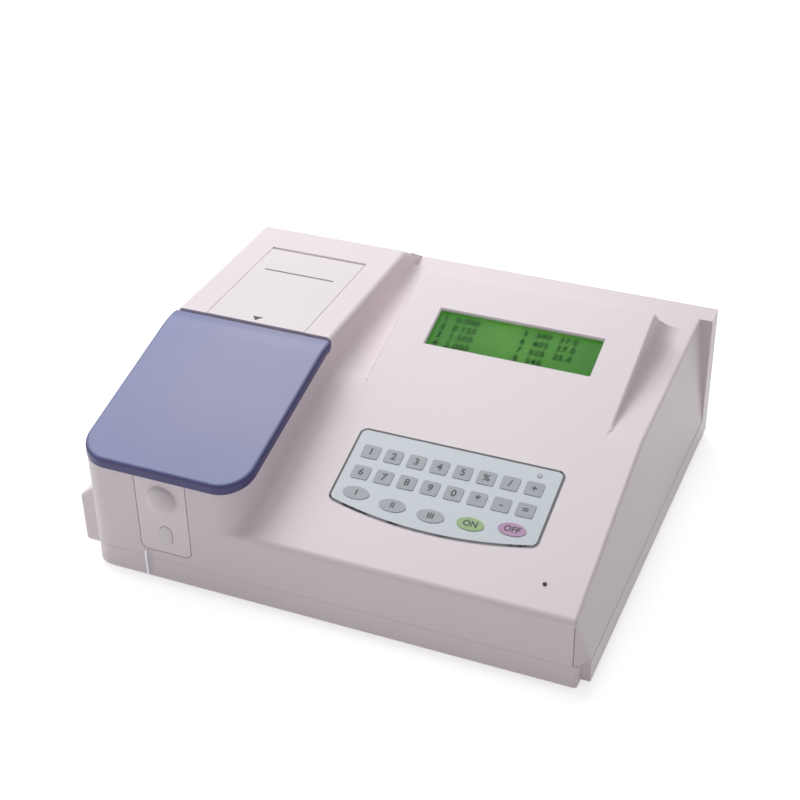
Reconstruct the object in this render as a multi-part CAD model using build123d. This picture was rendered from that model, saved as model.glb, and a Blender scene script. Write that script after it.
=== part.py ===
from build123d import *
import os
from math import atan2, cos, degrees, hypot, pi, radians, sin, tan

os.makedirs("parts", exist_ok=True)

# Benchtop chemistry analyzer. Millimetres. The shapes are drawn with X running right from the left
# wall, Y running back from the front face and Z running up from the table. The saved files have
# their origin on the table, under the middle of the whole outline.

# ---------------------------------------------------------------- driving dimensions
width = 384.0
depth = 338.0
foot_height = 4.0
tray_height = 19.2
wall = 2.8
fit = 0.3
running = 0.05
pin_radius = 1.4

# Operating panel and the side strips behind it, which climb gently to the rear top edge
front_top = 62.0
panel_angle = 17.0
strip_level = 108.7
strip_bend = 60.0
strip_edge = width - 9.5
flare_foot = width - 0.6
flare_start = 10.0
front_edge_radius = 5.0
left_corner_radius = 16.8

# Raised hood round the display
hood_left = 158.0
hood_right = strip_edge - 24.5
hood_crest = 269.7
hood_back = 301.0
hood_cove = 14.0

# Tower at the left
tower_width = 130.6
tower_top = 139.6
tower_crest = 304.4
tower_corner = 22.0
tower_cove = 8.0
deck_front = tower_top - 43.1
deck_angle = 14.2

# Rear frame
rear_top = 118.8
frame_depth = 19.0

# Fasteners
screw_radius = 1.5
screw_head_radius = 2.9
screw_head_height = 2.2
boss_radius = 4.5
foot_radius = 9.0
foot_inset = 26.0
spigot_radius = 3.0

# Sample lid
lid_rear = 154.5
lid_overhang = 2.2
lid_gap = 0.4
lid_corner = 24.0
lid_bend = 70.0
lid_thickness = 7.4
lid_skin = 2.2
hinge_radius = 5.0
lug_radius = 3.0
lug_stem = 2.0
lug_width = 6.0
lug_inset = 22.0
hinge_pin_length = 16.0

# Compartment tub and optics
tub_side = 12.0
tub_front = 22.0
tub_rear = 136.0
tub_floor = deck_front - 16.5
tub_wall = 2.2
tub_flange = 4.0
flange_thickness = 1.6
plate_front = 58.0
plate_rear = 120.0
plate_left = 14.0
plate_right = 122.0
plate_level = tub_floor - 44.0
plate_thickness = 4.0
optic_y = 76.0
optic_height = 16.0
beam_radius = 3.0
lamp_left = 18.0
lamp_right = 44.0
lamp_half_width = 9.0
lamp_height = 32.0
lamp_bulb_radius = 4.5
wheel_left = 60.0
wheel_thickness = 3.0
wheel_radius = 22.0
filter_circle = 17.0
filter_radius = 4.6
filter_count = 8
wheel_motor_radius = 7.5
wheel_motor_length = 12.0
shaft_radius = 1.5
cell_block_left = 70.0
cell_block_right = 100.0
cell_block_half = 14.0
cell_side = 12.5
cell_height = 38.0
block_height = 44.0
detector_depth = 11.0
board_thickness = 1.6

# Front access panel
access_left = 45.4
access_right = 86.0
access_bottom = 30.6
access_corner = 5.0
access_height = deck_front - access_bottom
seam_gap = 0.7
sipper_x = 66.2
sipper_bottom = access_bottom + 0.62 * access_height
sipper_width = 23.4
sipper_height = 0.275 * access_height
sipper_proud = 8.0
button_x = 67.0
button_z = access_bottom + 0.243 * access_height
button_wide = 9.6
button_tall = 15.6
button_proud = 0.6
button_gap = 0.35
button_travel = 2.0
needle_radius = 0.7
needle_x = 49.0
needle_z = 28.4
needle_drop = 22.0
needle_proud = 2.4
needle_bend = 2.0

# Peristaltic pump on the left wall
pump_y = 42.0
pump_z = 36.0
pump_motor_radius = 13.0
pump_motor_length = 38.0
pump_shaft_radius = 2.5
pump_depth = 12.0
pump_front = 10.0
pump_rear = 94.0
pump_bottom = 12.6
pump_top = 64.0
pump_slant = 10.0
pump_cover_wall = 2.0
pump_cover_radius = 4.0
roller_count = 3
roller_radius = 2.8
roller_orbit = 9.2
pump_tube_radius = 1.0

# Printer
cover_left = 24.0
cover_right = 108.2
cover_gap = 0.45
cover_rear = 271.8
cover_thickness = 2.4
cover_hinge_radius = 3.2
cover_pin_radius = 1.0
slot_left = 34.7
slot_right = 95.1
slot_y = 235.6
slot_gap = 1.8
bay_depth = 52.0
bay_rear = 278.0
roll_radius = 21.0
roll_width = 57.0
roll_core = 6.0
roll_y = 189.0
platen_radius = 6.0
platen_y = 238.0
platen_drop = 16.0
platen_shaft = 2.0
gear_module = 0.75
platen_teeth = 24
pinion_teeth = 12
gear_width = 4.0

# Display and keypad, measured along the panel slope
hood_wide = hood_right - hood_left
lcd_x = (hood_left + hood_right) / 2
lcd_s = 227.7
lcd_wide = hood_wide - 60.2
lcd_tall = 37.6
lcd_bevel = 1.0
window_margin = 4.0
window_thickness = 1.6
lcd_glass_thickness = 2.8
module_wide = hood_wide - 14.0
module_tall = 62.0
module_thickness = 7.0
keypad_x = lcd_x - 1.2
keypad_top = 117.5
keypad_side = 50.0
keypad_bottom = 39.5
keypad_wide = hood_wide - 34.5
keypad_corner = 6.0
overlay_thickness = 0.5
key_columns = 8
key_rows = 2
key_middle = keypad_x - 1.2
key_pitch = (keypad_wide - 15.1) / key_columns
key_row_pitch = 19.4
key_wide = key_pitch - 4.6
key_tall = 11.8
key_top_row = 96.8
key_raise = 0.5
key_corner = 1.6
oval_count = 5
oval_pitch = (keypad_wide - 11.0) / oval_count
oval_wide = oval_pitch - 9.0
oval_tall = 10.8
oval_row = 59.2
oval_sag = 4.8
led_radius = 1.6
led_x = strip_edge - 29.0
led_s = 23.3
status_x = keypad_x + keypad_wide / 2 - 17.9
status_s = 109.2
status_radius = 2.0

# Electronics
main_left = tower_width + 19.4
main_right = width - 34.0
main_front = 60.0
main_rear = 196.0
standoff = 6.0
supply_left = tower_width + 11.4
supply_right = supply_left + 104.0
supply_front = 214.0
supply_rear = 300.0
supply_height = 48.0

# Rear panel
rear_lip = 4.0
rear_plate = 1.5
rear_recess = 2.5
rear_margin = 10.0
fan_side = 60.0
fan_thickness = 15.0
fan_x = width - 74.0
fan_z = 62.0
fan_blades = 7
inlet_x = 60.0
inlet_z = 50.0
inlet_wide = 27.4
inlet_tall = 19.6
inlet_depth = 22.0
fuse_x = 96.0
fuse_radius = 6.0
flange_proud = 1.5
cap_height = 4.0
switch_x = 124.0
switch_wide = 13.0
switch_tall = 19.6
serial_x = 196.0
serial_z = 44.0

# ---------------------------------------------------------------- derived places
seam = foot_height + tray_height
tray_floor = foot_height + wall
frame_front = depth - frame_depth
panel_rise = tan(radians(panel_angle))
deck_rise = tan(radians(deck_angle))
normal_wall = wall / cos(radians(panel_angle))
bend_y = (strip_level - front_top) / panel_rise
hood_top = front_top + hood_crest * panel_rise
hinge_y = lid_rear - hinge_radius
hinge_z = tower_top - hinge_radius
bay_front = lid_rear + fit + lid_gap
plate_back = depth - rear_recess
middle_x = (width - pump_depth) / 2
middle_y = (plate_back + flange_proud + cap_height - sipper_proud) / 2


def panel_z(y):
    return front_top + y * panel_rise


def deck_z(y):
    return deck_front + y * deck_rise


def slope_z(y, crest_y, crest_z):
    """Height of the straight slope from a crest to the rear top edge."""
    return crest_z + (rear_top - crest_z) * (y - crest_y) / (depth - crest_y)


def strip_z(y):
    return slope_z(y, bend_y, strip_level)


# ---------------------------------------------------------------- shape helpers
def block(x0, x1, y0, y1, z0, z1):
    return Pos((x0 + x1) / 2, (y0 + y1) / 2, (z0 + z1) / 2) * Box(x1 - x0, y1 - y0, z1 - z0)


def rod(start, end, radius):
    axis = Vector(*end) - Vector(*start)
    return extrude(Plane(origin=start, z_dir=axis) * Circle(radius), axis.length)


def tube(start, end, outer, inner):
    return rod(start, end, outer) - rod(start, end, inner)


def side_prism(points, x0, x1):
    """Solid with a YZ outline between two X planes."""
    outline = Plane.YZ.offset(x0) * Polygon(*points, align=None)
    return extrude(outline, x1 - x0, dir=(1, 0, 0))


def stadium_y(x, z, wide, tall, y0, y1):
    """Upright oval bar along Y."""
    plane = Plane(origin=(x, y0, z), x_dir=(0, 0, 1), z_dir=(0, 1, 0))
    return extrude(plane * SlotOverall(tall, wide), y1 - y0)


def save(name, *solids):
    """Write one piece, or a group of separate solids, with the origin under the middle."""
    shift = Pos(-middle_x, -middle_y, 0)
    placed = [shape.moved(shift) for shape in solids]
    export_step(placed[0] if len(placed) == 1 else Compound(children=placed), f"parts/{name}.step")


# Local frame of the sloped panel: X right, Y up the slope, Z out of the panel
panel = Plane(
    origin=(0, 0, front_top),
    x_dir=(1, 0, 0),
    z_dir=(0, -sin(radians(panel_angle)), cos(radians(panel_angle))),
)


def on_panel(x, s, h, shape):
    return panel.location * Pos(x, s, h) * shape


def panel_slab(x, s, wide, tall, h0, h1, corner=0.0):
    outline = RectangleRounded(wide, tall, corner) if corner else Rectangle(wide, tall)
    return on_panel(x, s, h0, extrude(outline, h1 - h0))


# ---------------------------------------------------------------- outer and inner forms of the case
def body_outline(inset):
    drop = inset / cos(radians(panel_angle))
    return [
        (inset, seam),
        (inset, panel_z(inset) - drop),
        (bend_y, strip_level - drop),
        (frame_front, strip_z(frame_front) - inset),
        (frame_front, seam),
    ]


def body_form(inset):
    """Low main block: sloped panel at the front, side strips at the rear."""
    return side_prism(body_outline(inset), inset, strip_edge - inset)


def hood_form(inset, spread=0.0):
    """Wedge that carries the upper panel and the display."""
    drop = inset / cos(radians(panel_angle))
    start = bend_y / 2
    outline = [
        (start, panel_z(start) - drop),
        (hood_crest, hood_top - drop),
        (hood_back, strip_z(hood_back) - drop),
        (hood_back, seam + inset),
        (start, seam + inset),
    ]
    return side_prism(outline, hood_left + inset - spread, hood_right - inset + spread)


def tower_form(inset, spread=0.0):
    """Tower: sloped deck under the lid, level printer top, slope down at the rear."""
    drop = inset / cos(radians(deck_angle))
    rear_z = slope_z(frame_front, tower_crest, tower_top)
    outline = [
        (inset, seam),
        (inset, deck_z(inset) - drop),
        (bay_front + inset, deck_z(bay_front + inset) - drop),
        (bay_front + inset, tower_top - inset),
        (tower_crest, tower_top - inset),
        (frame_front, rear_z - inset),
        (frame_front, seam),
    ]
    return side_prism(outline, inset, tower_width - inset + spread)


def flare_form(inset):
    """Right wall, leaning out from the strip's edge to the tray."""
    sill = seam + wall
    foot = [
        (flare_start + inset, seam),
        (flare_start + inset, sill),
        (bend_y, sill),
        (frame_front, sill),
        (frame_front, seam),
    ]
    near = Plane.YZ.offset(strip_edge - inset) * Polygon(*body_outline(inset), align=None)
    far = Plane.YZ.offset(flare_foot - inset) * Polygon(*foot, align=None)
    return loft([near, far], ruled=True)


def cove(wall_x, side):
    """Concave foot beside one of the hood's walls, growing from nothing at the bend.

    side is +1 where the foot spreads to the right of the wall and -1 to the left.
    """
    sections = []
    for y, radius in ((bend_y + wall, wall / 4), (hood_crest, hood_cove), (hood_back, hood_cove)):
        section = make_face(
            [
                Polyline((radius, 0), (radius, -wall), (-wall, -wall), (-wall, radius), (0, radius)),
                RadiusArc((0, radius), (radius, 0), -radius),
            ]
        )
        if side < 0:
            section = mirror(section, about=Plane.YZ)
        place = Plane(origin=(wall_x, y, strip_z(y)), x_dir=(1, 0, 0), z_dir=(0, -1, 0))
        sections.append(place * section)
    return loft(sections, ruled=True)


def edges_at(shape, x=None, y=None, z=None, reach=0.3):
    """Edges whose centre lies on the given planes."""
    found = []
    for edge in shape.edges():
        c = edge.center()
        if x is not None and abs(c.X - x) > reach:
            continue
        if y is not None and abs(c.Y - y) > reach:
            continue
        if z is not None and abs(c.Z - z) > reach:
            continue
        found.append(edge)
    return ShapeList(found)


# ---------------------------------------------------------------- outside of the case
hood_crest_radius = 6.0
hood_side_radius = 2.0
tower_crest_radius = 12.0
tower_right_radius = 4.0
tower_left_radius = 3.0
strip_edge_radius = 2.5
foot_start = 2.0


def tower_foot(body):
    """Concave foot that runs down the tower's right wall and round its front corner."""
    post = block(0, tower_width, 0, frame_front, seam, 2 * tower_top)
    post = fillet(edges_at(post, x=tower_width, y=0), tower_corner)
    joined = body + post
    foot = joined.edges().filter_by(
        lambda e: tower_width - tower_corner < e.center().X < tower_width + 1
        and 1 < e.center().Y < frame_front - 1
        and seam + 1 < e.center().Z < rear_top
    )
    start = tower_width - tower_corner + foot_start
    beside = block(start, tower_width + tower_cove, 0, frame_front, seam, 2 * tower_top)
    return (fillet(foot, tower_cove) - post) & tower_form(0, tower_cove) & beside


def outer_case():
    body = body_form(0) + flare_form(0)
    body = fillet(edges_at(body, y=bend_y), strip_bend)
    body = fillet(edges_at(body, y=0, z=front_top), front_edge_radius)
    rim = edges_at(body, x=strip_edge).filter_by(
        lambda e: e.center().Z > front_top - wall and e.center().Y > 1
    )
    body = fillet(rim, strip_edge_radius)

    hood = hood_form(0)
    hood = fillet(edges_at(hood, y=hood_crest, z=hood_top), hood_crest_radius)
    for side in (hood_left, hood_right):
        top = edges_at(hood, x=side).filter_by(
            lambda e: e.center().Z > strip_level + wall and bend_y / 2 + 1 < e.center().Y < hood_back - 1
        )
        hood = fillet(top, hood_side_radius)
    shoulder = hood_form(0, hood_cove)
    hood += cove(hood_right, 1) & shoulder
    hood += cove(hood_left, -1) & shoulder

    tower = tower_form(0)
    tower = fillet(edges_at(tower, x=tower_width, y=0), tower_corner)
    tower = fillet(edges_at(tower, y=tower_crest, z=tower_top), tower_crest_radius)
    for side, radius in ((tower_width, tower_right_radius), (0, tower_left_radius)):
        top = edges_at(tower, x=side).filter_by(
            lambda e: e.center().Z > rear_top and bay_front + 1 < e.center().Y < frame_front - 1
        )
        tower = fillet(top, radius)

    case = body + hood + tower + tower_foot(body)
    return fillet(edges_at(case, x=0, y=0), left_corner_radius)


outside = outer_case()


def inner_case():
    tower = tower_form(wall)
    tower = fillet(edges_at(tower, x=tower_width - wall, y=wall), tower_corner - wall)
    room = body_form(wall) + hood_form(wall) + tower + flare_form(wall)
    return fillet(edges_at(room, x=wall, y=wall), left_corner_radius - wall)


inside = inner_case()

# ---------------------------------------------------------------- top case
groove = 0.8
groove_depth = 1.5
boss_left = wall + boss_radius + 2.0
boss_middle = tower_width + wall
boss_right = strip_edge - wall - boss_radius - 4.0
boss_front = wall + boss_radius + 6.0
boss_spots = [
    (boss_left, (tub_rear + bay_front) / 2),
    (boss_left, bay_rear + boss_radius + 8.0),
    (boss_middle, boss_front),
    (boss_middle, supply_rear),
    (boss_right, boss_front),
    (boss_right, supply_rear),
]
hinge_bar_front = hinge_y - hinge_radius - wall
lug_spots = [lug_inset, tower_width - lug_inset]
pin_axis_z = tower_top - cover_hinge_radius
pin_axis_y = cover_rear - cover_hinge_radius
cheek = 4.0

window_back = -wall - window_thickness
frame_back = window_back - module_thickness
screw_boss = 3.0
thin_screw = 1.25
thin_head = 2.4
thin_head_height = 1.6
module_reach = module_wide / 2 - 5.0
module_rise = module_tall / 2 - 5.0
module_spots = [
    (lcd_x + side * module_reach, lcd_s + end * module_rise)
    for side in (-1, 1)
    for end in (-1, 1)
]


def under_deck():
    """Everything below the deck surface."""
    outline = [(0, seam), (0, deck_z(0)), (bay_front, deck_z(bay_front)), (bay_front, seam)]
    return side_prism(outline, 0, tower_width)


def make_top_case():
    case = outside - inside

    # Screw bosses down to the tray, each with a pilot hole
    for x, y in boss_spots:
        boss = rod((x, y, seam), (x, y, hood_top), boss_radius) & outside
        case += boss - rod((x, y, 0), (x, y, seam + 3 * boss_radius), screw_radius)

    # Opening for the compartment tub
    case -= block(tub_side, tower_width - tub_side, tub_front, tub_rear, tub_floor, hood_top)

    # Bar behind it with the trough the lid's barrel turns in, and two lugs that hold the lid's pins
    across = (wall, tower_width - wall)
    bar_low = hinge_z - 3 * wall
    bar_rear = bay_front + wall
    case += block(*across, hinge_bar_front, bar_rear, bar_low, tower_top) & under_deck()
    case += block(*across, bay_front, bar_rear, bar_low, tower_top - wall)
    trough = hinge_radius + lid_gap
    case -= rod((-wall, hinge_y, hinge_z), (tower_width + wall, hinge_y, hinge_z), trough)
    stem_low = hinge_z - trough - wall / 2
    for x in lug_spots:
        x0 = x - lug_width / 2
        x1 = x + lug_width / 2
        case += rod((x0, hinge_y, hinge_z), (x1, hinge_y, hinge_z), lug_radius)
        case += block(x0, x1, hinge_y - lug_stem, hinge_y + lug_stem, stem_low, hinge_z)
        case -= rod((x0, hinge_y, hinge_z), (x1, hinge_y, hinge_z), pin_radius)

    # Opening for the printer cover, with cheeks beside it for the cover's pins
    cheek_low = tower_top - 2 * wall
    for x0, x1 in ((cover_left - cheek, cover_left), (cover_right, cover_right + cheek)):
        case += block(x0, x1, bar_rear, cover_rear + cheek, cheek_low, tower_top - wall)
    between = (cover_left, cover_right)
    opening_rear = cover_rear + fit + lid_gap
    case -= block(*between, bay_front - wall, opening_rear, tower_top - wall, tower_top + wall)
    case -= block(*between, bar_rear, opening_rear, tower_top - 3 * wall, tower_top)
    reach = cheek / 2
    case -= rod(
        (cover_left - reach, pin_axis_y, pin_axis_z),
        (cover_right + reach, pin_axis_y, pin_axis_z),
        cover_pin_radius + running,
    )

    # Opening for the access panel, from its bottom edge up through the deck's front
    opening = block(
        access_left - seam_gap,
        access_right + seam_gap,
        -wall,
        wall,
        access_bottom - seam_gap,
        deck_front + wall,
    )
    lower = opening.edges().filter_by(Axis.Y).sort_by(Axis.Z)[:2]
    case -= fillet(lower, access_corner + seam_gap)

    # Hole for the sipper needle, the pump's shaft and its two tube ends
    case -= rod((needle_x, -wall, needle_z), (needle_x, 2 * wall, needle_z), needle_radius)
    case -= rod((-wall, pump_y, pump_z), (wall, pump_y, pump_z), pump_shaft_radius + fit)
    for y in tube_ends:
        case -= rod((-wall, y, tube_low), (wall, y, tube_low), pump_tube_radius + running)

    # Display opening, status light hole and power light hole
    case -= panel_slab(lcd_x, lcd_s, lcd_wide, lcd_tall, -3 * wall, wall)
    low = Rectangle(lcd_wide, lcd_tall)
    high = Pos(0, 0, 2 * lcd_bevel) * Rectangle(lcd_wide + 4 * lcd_bevel, lcd_tall + 4 * lcd_bevel)
    case -= on_panel(lcd_x, lcd_s, -lcd_bevel, loft([low.face(), high.face()], ruled=True))
    case -= on_panel(led_x, led_s, -3 * wall, Pos(0, 0, 3 * wall) * Cylinder(led_radius, 6 * wall))

    # Bosses under the hood for the display's screws
    boss_height = window_thickness + wall / 2
    for x, s in module_spots:
        case += on_panel(x, s, window_back, extrude(Circle(screw_boss), boss_height))
        case -= on_panel(x, s, window_back, extrude(Circle(thin_screw), window_thickness))

    # Fine groove down the front right corner
    groove_top = front_top - front_edge_radius
    case -= block(strip_edge - groove, strip_edge, -wall, groove_depth, seam, groove_top)
    return case


tube_low = pump_z - 9.5
tube_orbit = roller_orbit + roller_radius + pump_tube_radius + running
tube_ends = (pump_y - tube_orbit, pump_y + tube_orbit)
top_case = make_top_case()
save("top_case", top_case)


# ---------------------------------------------------------------- base tray
notch_x = flare_foot - 6.0
tray_bottom_chamfer = 1.0
seam_chamfer = 0.6
vent_count = 12
vent_pitch = 9.0
vent_slot = 3.0
vent_front = supply_rear - 60.0
vent_rear = supply_rear - 10.0
hole_inset = 6.0


def corner_spots(left, right, front, rear, inset):
    return [(x, y) for x in (left + inset, right - inset) for y in (front + inset, rear - inset)]


post_spots = corner_spots(plate_left, plate_right, plate_front, plate_rear, hole_inset)
board_spots = corner_spots(main_left, main_right, main_front, main_rear, hole_inset)
foot_spots = corner_spots(0, width, 0, depth, foot_inset)


def tray_outline(inset):
    corners = [
        (inset, inset),
        (notch_x - inset, inset),
        (notch_x - inset, flare_start + inset),
        (width - inset, flare_start + inset),
        (width - inset, frame_front),
        (inset, frame_front),
    ]
    return Polygon(*corners, align=None)


def make_base_tray():
    tray = Pos(0, 0, foot_height) * extrude(tray_outline(0), tray_height)
    tray = fillet(edges_at(tray, x=0, y=0), left_corner_radius)
    tray = fillet(edges_at(tray, x=notch_x, y=0), wall)
    tray = chamfer(tray.faces().sort_by(Axis.Z)[0].outer_wire().edges(), tray_bottom_chamfer)
    tray = chamfer(tray.faces().sort_by(Axis.Z)[-1].outer_wire().edges(), seam_chamfer)
    room = Pos(0, 0, tray_floor) * extrude(tray_outline(wall), tray_height)
    tray -= fillet(edges_at(room, x=wall, y=wall), left_corner_radius - wall)

    # Screw bosses, optics posts and board stand-offs
    for x, y in boss_spots:
        tray += rod((x, y, tray_floor), (x, y, seam), boss_radius)
        tray -= rod((x, y, 0), (x, y, seam), screw_radius + fit)
        tray -= rod((x, y, 0), (x, y, foot_height + screw_head_height), screw_head_radius + fit)
    for x, y in post_spots:
        tray += rod((x, y, tray_floor), (x, y, plate_level), boss_radius)
        tray -= rod((x, y, plate_level - 2 * screw_radius), (x, y, plate_level), screw_radius)
    for x, y in board_spots:
        top = tray_floor + standoff
        tray += rod((x, y, tray_floor), (x, y, top), boss_radius - 1)
        tray -= rod((x, y, top - 2 * screw_radius), (x, y, top), screw_radius)

    # Vent slots under the power supply and spigot holes for the feet
    for i in range(vent_count):
        x = supply_left + (i + 1 / 2) * vent_pitch - vent_slot / 2
        tray -= block(x, x + vent_slot, vent_front, vent_rear, 0, tray_floor + fit)
    for x, y in foot_spots:
        tray -= rod((x, y, 0), (x, y, tray_floor), spigot_radius)
    return tray


base_tray = make_base_tray()
save("base_tray", base_tray)


def make_feet():
    feet = []
    for x, y in foot_spots:
        pad = rod((x, y, 0), (x, y, foot_height), foot_radius)
        feet.append(pad + rod((x, y, foot_height), (x, y, tray_floor), spigot_radius))
    return feet


save("feet", *make_feet())


# ---------------------------------------------------------------- rear frame and rear panel
lip_y = plate_back - rear_plate
panel_bottom = foot_height + rear_margin
panel_top = rear_top - rear_margin
plate_screws = [
    (x, z)
    for x in (rear_margin + rear_lip, width / 2, width - rear_margin - rear_lip)
    for z in (panel_bottom + rear_lip, panel_top - rear_lip)
]


def make_rear_frame():
    frame = block(0, width, frame_front, depth, foot_height, rear_top - wall)
    for x0, x1, front_z in (
        (0, width, strip_z(frame_front)),
        (0, tower_width, slope_z(frame_front, tower_crest, tower_top)),
    ):
        top = [(frame_front, seam), (frame_front, front_z), (depth, rear_top), (depth, seam)]
        frame += side_prism(top, x0, x1)
    room_top = strip_z(frame_front) - wall
    mouth_top = strip_level - 2 * wall
    mouth_side = 3 * wall
    lip_front = lip_y - wall
    frame -= block(wall, width - wall, frame_front + wall, lip_front, tray_floor, room_top)
    frame -= block(mouth_side, strip_edge - mouth_side, frame_front, lip_front, tray_floor, mouth_top)
    lip = 2 * rear_lip
    rim = rear_margin + lip
    frame -= block(rim, width - rim, frame_front, depth, panel_bottom + lip, panel_top - lip)
    frame -= block(rear_margin, width - rear_margin, lip_y, depth, panel_bottom, panel_top)
    for x, z in plate_screws:
        frame -= rod((x, frame_front, z), (x, depth, z), screw_radius)
    return frame


save("rear_frame", make_rear_frame())

fan_ring = fan_side / 2 - 2.5
fan_hole = 25.0
fan_spots = [(fan_x + i * fan_hole, fan_z + j * fan_hole) for i in (-1, 1) for j in (-1, 1)]
serial_wide = 20.0
serial_tall = 11.0
bore_slack = 0.1
grille_left = width / 2 + 30.0
grille_slot = 2.0
grille_low = panel_bottom + 3 * rear_lip
grille_high = panel_bottom + 6 * rear_lip


def panel_cut(x, z, wide, tall):
    """Cut-out of the rear panel round a fitting of the given size."""
    half_wide = wide / 2 + bore_slack
    half_tall = tall / 2 + bore_slack
    return block(x - half_wide, x + half_wide, lip_y - wall, depth, z - half_tall, z + half_tall)


def make_rear_panel():
    plate = block(
        rear_margin + fit,
        width - rear_margin - fit,
        lip_y,
        lip_y + rear_plate,
        panel_bottom + fit,
        panel_top - fit,
    )
    back = (lip_y - wall, depth)
    plate -= rod((fan_x, back[0], fan_z), (fan_x, back[1], fan_z), fan_ring)
    plate -= rod((fuse_x, back[0], inlet_z), (fuse_x, back[1], inlet_z), fuse_radius + bore_slack)
    plate -= panel_cut(inlet_x, inlet_z, inlet_wide, inlet_tall)
    plate -= panel_cut(switch_x, inlet_z, switch_wide, switch_tall)
    plate -= panel_cut(serial_x, serial_z, serial_wide, serial_tall)
    for x, z in plate_screws + fan_spots:
        plate -= rod((x, back[0], z), (x, back[1], z), screw_radius + bore_slack)
    for i in range(vent_count):
        x = grille_left - grille_slot / 2 + i * vent_pitch / 2
        plate -= block(x, x + grille_slot, *back, grille_low, grille_high)
    return plate


save("rear_panel", make_rear_panel())


def make_case_screws():
    """Case screws from below and rear panel screws, all the same pan head."""
    screws = []
    for x, y in boss_spots:
        head_top = foot_height + screw_head_height
        head = rod((x, y, foot_height + fit), (x, y, head_top), screw_head_radius)
        screws.append(head + rod((x, y, head_top), (x, y, seam + 2 * boss_radius), screw_radius))
    for x, z in plate_screws:
        head = rod((x, plate_back, z), (x, plate_back + screw_head_height, z), screw_head_radius)
        screws.append(head + rod((x, frame_front + wall, z), (x, plate_back, z), screw_radius))
    return screws


save("case_screws", *make_case_screws())

# ---------------------------------------------------------------- sample lid
lid_left = -lid_overhang
lid_right = tower_width + lid_overhang
lid_front = -lid_overhang
lid_edge_radius = 3.4
lid_slot = lug_width + 2 * fit
facing_up = 0.9


def lid_outline(inset):
    """Side outline of the lid, parallel to the deck and bending level towards the hinge."""
    top = hinge_z + hinge_radius - inset
    rise = lid_thickness + lid_gap - inset
    knee = (top - deck_front - rise) / deck_rise
    front = lid_front + inset
    return [
        (front, deck_z(front) + lid_gap),
        (front, deck_z(front) + rise),
        (knee, top),
        (hinge_y, top),
        (hinge_y, deck_z(hinge_y) + lid_gap),
    ]


def lid_form(inset):
    form = side_prism(lid_outline(inset), lid_left + inset, lid_right - inset)
    knee_y, knee_z = lid_outline(inset)[2]
    form = fillet(edges_at(form, y=knee_y, z=knee_z), lid_bend - inset)
    sides = (lid_left + inset, lid_right - inset)
    plan = block(*sides, lid_front + inset, 2 * hinge_y, seam, 2 * tower_top)
    corners = plan.edges().filter_by(Axis.Z).sort_by(Axis.Y)[:2]
    return form & fillet(corners, lid_corner - inset)


def make_sample_lid():
    lid = lid_form(0)
    skirt = deck_front + lid_gap + lid_thickness / 2
    rim = ShapeList()
    for face in lid.faces().filter_by(lambda f: f.normal_at(f.center()).Z > facing_up):
        for edge in face.edges():
            c = edge.center()
            crossing = abs(c.X - tower_width / 2) < fit and c.Y > lid_front + lid_edge_radius
            if c.Z > skirt and c.Y < hinge_y - fit and not crossing:
                rim.append(edge)
    lid = fillet(rim, lid_edge_radius)
    hollow = lid_form(lid_skin) & block(
        lid_left, lid_right, lid_front, hinge_y - hinge_radius - lid_skin, seam, 2 * tower_top
    )
    lid -= hollow
    lid -= Pos(0, 0, -lid_skin) * hollow

    # Barrel along the rear edge, slotted over the two lugs and bored for their pins
    barrel = rod((fit, hinge_y, hinge_z), (tower_width - fit, hinge_y, hinge_z), hinge_radius)
    lid += barrel
    low = hinge_z - 2 * hinge_radius
    stem = lug_stem + 2 * fit
    half = hinge_pin_length / 2
    for x in lug_spots:
        x0 = x - lid_slot / 2
        x1 = x + lid_slot / 2
        lid -= rod((x0, hinge_y, hinge_z), (x1, hinge_y, hinge_z), lug_radius + fit)
        lid -= block(x0, x1, hinge_y - lug_radius - fit, hinge_y, low, hinge_z)
        lid -= block(x0, x1, hinge_y, hinge_y + 2 * hinge_radius, low, hinge_z + stem)
        lid -= rod((x - half, hinge_y, hinge_z), (x + half, hinge_y, hinge_z), pin_radius + running)
    return lid


save("sample_lid", make_sample_lid())


def make_lid_pins():
    pins = []
    for x in lug_spots:
        half = hinge_pin_length / 2 - fit
        pins.append(rod((x - half, hinge_y, hinge_z), (x + half, hinge_y, hinge_z), pin_radius))
    return pins


save("lid_pins", *make_lid_pins())


# ---------------------------------------------------------------- compartment tub
plate_top = plate_level + plate_thickness
block_top = plate_top + block_height


def make_compartment_tub():
    left = tub_side + fit
    right = tower_width - tub_side - fit
    front = tub_front + fit
    rear = tub_rear - fit
    tub = block(left, right, front, rear, tub_floor, hood_top) & under_deck()
    flange_left = tub_side - tub_flange
    flange_right = tower_width - tub_side + tub_flange
    low = tub_front - tub_flange
    high = tub_rear + tub_flange
    tub += side_prism(
        [
            (low, deck_z(low)),
            (high, deck_z(high)),
            (high, deck_z(high) + flange_thickness),
            (low, deck_z(low) + flange_thickness),
        ],
        flange_left,
        flange_right,
    )
    room = block(
        left + tub_wall,
        right - tub_wall,
        front + tub_wall,
        rear - tub_wall,
        tub_floor + tub_wall,
        2 * hood_top,
    )
    room = fillet(room.edges().filter_by(Axis.Z), 2 * tub_wall)
    tub -= room
    return tub - block(
        cell_block_left - fit,
        cell_block_right + fit,
        optic_y - cell_block_half - fit,
        optic_y + cell_block_half + fit,
        0,
        tub_floor + 2 * tub_wall,
    )


save("compartment_tub", make_compartment_tub())


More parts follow.
